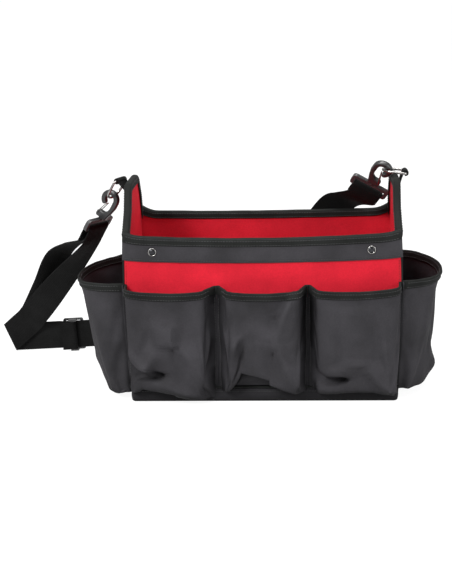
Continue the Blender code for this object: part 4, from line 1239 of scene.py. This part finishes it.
def rows_between(first, last, step=7):
    """The rows after the first, up to and with the last."""
    count = max(1, round(abs(last[0] - first[0]) / step))
    return [tuple(a + (b - a) * i / count for a, b in zip(first, last)) for i in range(1, count + 1)]


def fold_row(radius, share):
    """A row along the fold's slanting line, at a share of the way round its turn."""
    forward = BEFORE_FOLD.dot(FOLD_FORWARD)
    return share * (math.pi * radius / 2 + 0.6) / forward, -BEFORE_ACROSS.dot(FOLD_FORWARD) / forward


def folded_rows(radius):
    rows = rows_between(square(-FOLD_HALF), fold_row(radius, -1))
    rows += [fold_row(radius, k / 8) for k in range(-7, 9)]
    return rows + rows_between(fold_row(radius, 1), square(FOLD_HALF))


def on_layer(layer, rows, flip=1):
    return [lambda v, lift, s=s, slant=slant: layer.point(s + slant * v, v, lift * flip) for s, slant in rows]


def round_bar(hw):
    """Rows round a swivel's bar, from one side of the webbing to the other."""
    return [lambda v, lift, t=math.pi * k / 14: hw.bar_point(
        v, SWIVEL_BAR_CENTRE + (LOOP_RADIUS + lift) * math.sin(t), (LOOP_RADIUS + lift) * math.cos(t))
        for k in range(15)]


def build_strap():
    """The strap from the slider, round the left swivel and back, and from the slider to the right swivel."""
    at_slider = square(SLIDER_RUN - 8.0)
    fold_in, fold_out = square(-FOLD_HALF), square(FOLD_HALF)
    start = square(RETURN.start)
    rows = on_layer(MAIN, [at_slider, *rows_between(at_slider, fold_out), *folded_rows(MAIN_RADIUS)[-2::-1],
                           *rows_between(fold_in, square(MAIN.start))])
    rows += round_bar(LEFT)[1:-1]
    rows += on_layer(RETURN, [start, *rows_between(start, fold_in), *folded_rows(RETURN_RADIUS)[1:],
                              *rows_between(fold_out, square(RETURN_CUT))], -1)
    made = webbing_strip("strap_left_run", rows, "base_cloth", "strap_return", "left_strap_loop")
    near, far = MAIN.point(MAIN.start + 22, 0, 0), MAIN.point(MAIN.start + 150, 0, 0)
    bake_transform(made)

    rows = on_layer(MAIN, [at_slider, *rows_between(at_slider, square(MAIN.end), 8)], -1)
    rows += round_bar(RIGHT)[1:]
    rows += [lambda v, lift, t=t: RIGHT.bar_point(v, SWIVEL_BAR_CENTRE - t, -(LOOP_RADIUS + lift))
             for t in (4.0, 10.0, 16.0, 22.0, 28.0)]
    made = webbing_strip("strap_back_run", rows, "base_cloth", "shoulder_strap", "right_strap_loop")
    near, far = MAIN.point(MAIN.end - 22, 0, 0), MAIN.point(MAIN.end - 120, 0, 0)
    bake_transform(made)


def build_slider():
    """The strap's end: back from the fold, round the slider's middle bar and forward to its cut."""
    origin = fold_point(SLIDER_RUN, 0, 0, MAIN_RADIUS)
    bar = SLIDER_BAR
    radius = bar - (MAIN_RADIUS - RETURN_RADIUS)
    stations = [(-14.0, bar - radius), (-7.0, bar - radius)]
    stations += [(c, bar + s) for c, s in arc((0, 0), radius, -90, 90, 14)]
    stations += [(-8.0, bar + radius), (-14.0, bar + radius + 0.2), (-20.0, bar + radius + 0.8)]
    rows = on_layer(RETURN, [square(RETURN_CUT + 3.5 * k) for k in range(7)])
    for s, n in stations:
        out = Vector((s, n - bar) if s > 0 else (0, n - bar)).normalized()
        rows.append(lambda v, lift, s=s, n=n, out=out: origin + AFTER_FOLD * (s + out.x * lift)
                    + AFTER_ACROSS * v - BACKWARD * (n + out.y * lift))
    made = webbing_strip("strap_end_run", rows, "slider", "slider_loop")
    RETURN.point(72, 0, 0) * MM
    RETURN.point(92, 0, 0) * MM
    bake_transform(made)


def build_tabs(stitches):
    """The short webbing loops on the end walls, round the rings' bars, with a boxed cross of stitching."""
    thick = TAB_THICK - 0.6
    roll = RING_WIRE + 0.5 + thick / 2
    tail = BINDING + 2.9
    box = [(-9, -40), (9, -40), (9, -26), (-9, -26), (-9, -40), (9, -26)]
    for side, hw in HARDWARE.items():
        wall_out = Vector((math.copysign(1, hw.pivot.x), 0, 0))
        reach = abs(hw.pivot.x) - end_wall_x(hw.pivot.z)
        path = [(tail, -42.0 + 3 * k) for k in range(9)] + [((tail + reach - roll) / 2, -8.0)]
        path += arc((reach, 0), roll, 190, -102.5, 13)
        path = smooth_path([Vector(p) for p in path], 2)
        loops = []
        for (u, z), along in zip(path, headings(path)):
            share = clamp((z + 18) / 14)
            out = wall_out.lerp(hw.pull, share).normalized()
            across = Vector((0, 1, 0)).lerp(hw.axis, share).normalized()
            loop = []
            for sign in (1, -1):
                for k in range(7):
                    v = (k / 3 - 1) * sign * TAB_WIDTH / 2
                    soft = (0.75 if k in (0, 6) else 1.0) * sign * thick / 2
                    loop.append(hw.pivot + out * (u - reach + along.y * soft) + across * v
                                + Vector((0, 0, z - along.x * soft)))
            loops.append(loop)
        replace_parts(loft(f"{side}_tab_webbing", loops, WEB), f"{side}_ring_tab")
        x = wall_out.x * (end_wall_x(315) + tail + thick / 2 + 0.15)
        line = [Vector((x, y, hw.pivot.z + z)) for y, z in box]
        for p, q in zip(line, line[1:]):
            stitches.row([(p, p + wall_out), (q, q + wall_out)], 3.4, 2.4, 0.4)


# Stage


def build_stage():
    bpy.ops.mesh.primitive_plane_add(size=FLOOR_SIZE, location=(0, 0, -0.0005))
    floor = bpy.context.object
    floor.name = "floor"
    paper = Look("floor_paper", (0.16, 0.16, 0.16), 0.9, specular=0.05)
    floor.data.materials.append(paper.finish({"Emission Color": (1.0, 1.0, 1.0), "Emission Strength": 0.93}))
    world = bpy.data.worlds.new("studio")
    bpy.context.scene.world = world
    bpy.context.scene.view_settings.view_transform = "Standard"
    world.use_nodes = True
    world.node_tree.nodes["Background"].inputs["Color"].default_value = (1.0, 1.0, 1.0, 1.0)
    world.node_tree.nodes["Background"].inputs["Strength"].default_value = 0.5
    for name, place, size, power in LAMPS:
        lamp = bpy.data.lights.new(name, "AREA")
        lamp.shape = "DISK"
        lamp.size = size
        lamp.energy = power
        item = bpy.data.objects.new(name, lamp)
        item.location = place
        aim = Vector((0, 0, 0.15)) - Vector(place)
        item.rotation_euler = aim.to_track_quat("-Z", "Y").to_euler()
        bpy.context.scene.collection.objects.link(item)


def build_camera():
    forward = Vector((-math.sin(CAMERA_YAW) * math.cos(CAMERA_PITCH),
                      math.cos(CAMERA_YAW) * math.cos(CAMERA_PITCH), -math.sin(CAMERA_PITCH)))
    level = Vector((math.cos(CAMERA_YAW), math.sin(CAMERA_YAW), 0.0))
    up = level.cross(forward)
    right = level * math.cos(CAMERA_ROLL) + up * math.sin(CAMERA_ROLL)
    up = up * math.cos(CAMERA_ROLL) - level * math.sin(CAMERA_ROLL)
    data = bpy.data.cameras.new("camera")
    data.lens = CAMERA_LENS
    data.sensor_width = 36.0
    data.clip_end = 50.0
    camera = bpy.data.objects.new("camera", data)
    turn = Matrix((right, up, -forward)).transposed().to_4x4()
    camera.matrix_world = Matrix.Translation(CAMERA_PLACE * MM) @ turn
    bpy.context.scene.collection.objects.link(camera)
    bpy.context.scene.camera = camera


def dress_nodes():
    """Better materials and rounder edges for the CAD nodes that stay."""
    looks = {"hook_gate": NICKEL, "hook_swivel": PLASTIC, "slider": PLASTIC}
    for name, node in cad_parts.items():
        for key, material in looks.items():
            if name.endswith(key):
                for slot in node.material_slots:
                    slot.material = material
                if material is PLASTIC:
                    edge = node.modifiers.new("rounded_edges", "BEVEL")
                    edge.width = 0.6 * MM
                    edge.segments = 2
                    edge.limit_method = "ANGLE"
                    edge.angle_limit = math.radians(40)


def main():
    build_camera()
    build_stage()
    black_thread, red_thread = Stitches(), Stitches()
    build_walls(red_thread)
    build_rims(black_thread)
    build_base(black_thread)
    build_pockets(black_thread)
    build_studs()
    build_tabs(black_thread)
    black_thread.build("bag_stitching", THREAD)
    red_thread.build("red_stitching", RED_THREAD)
    build_rings()
    build_hooks()
    build_strap()
    build_slider()
    dress_nodes()


main()
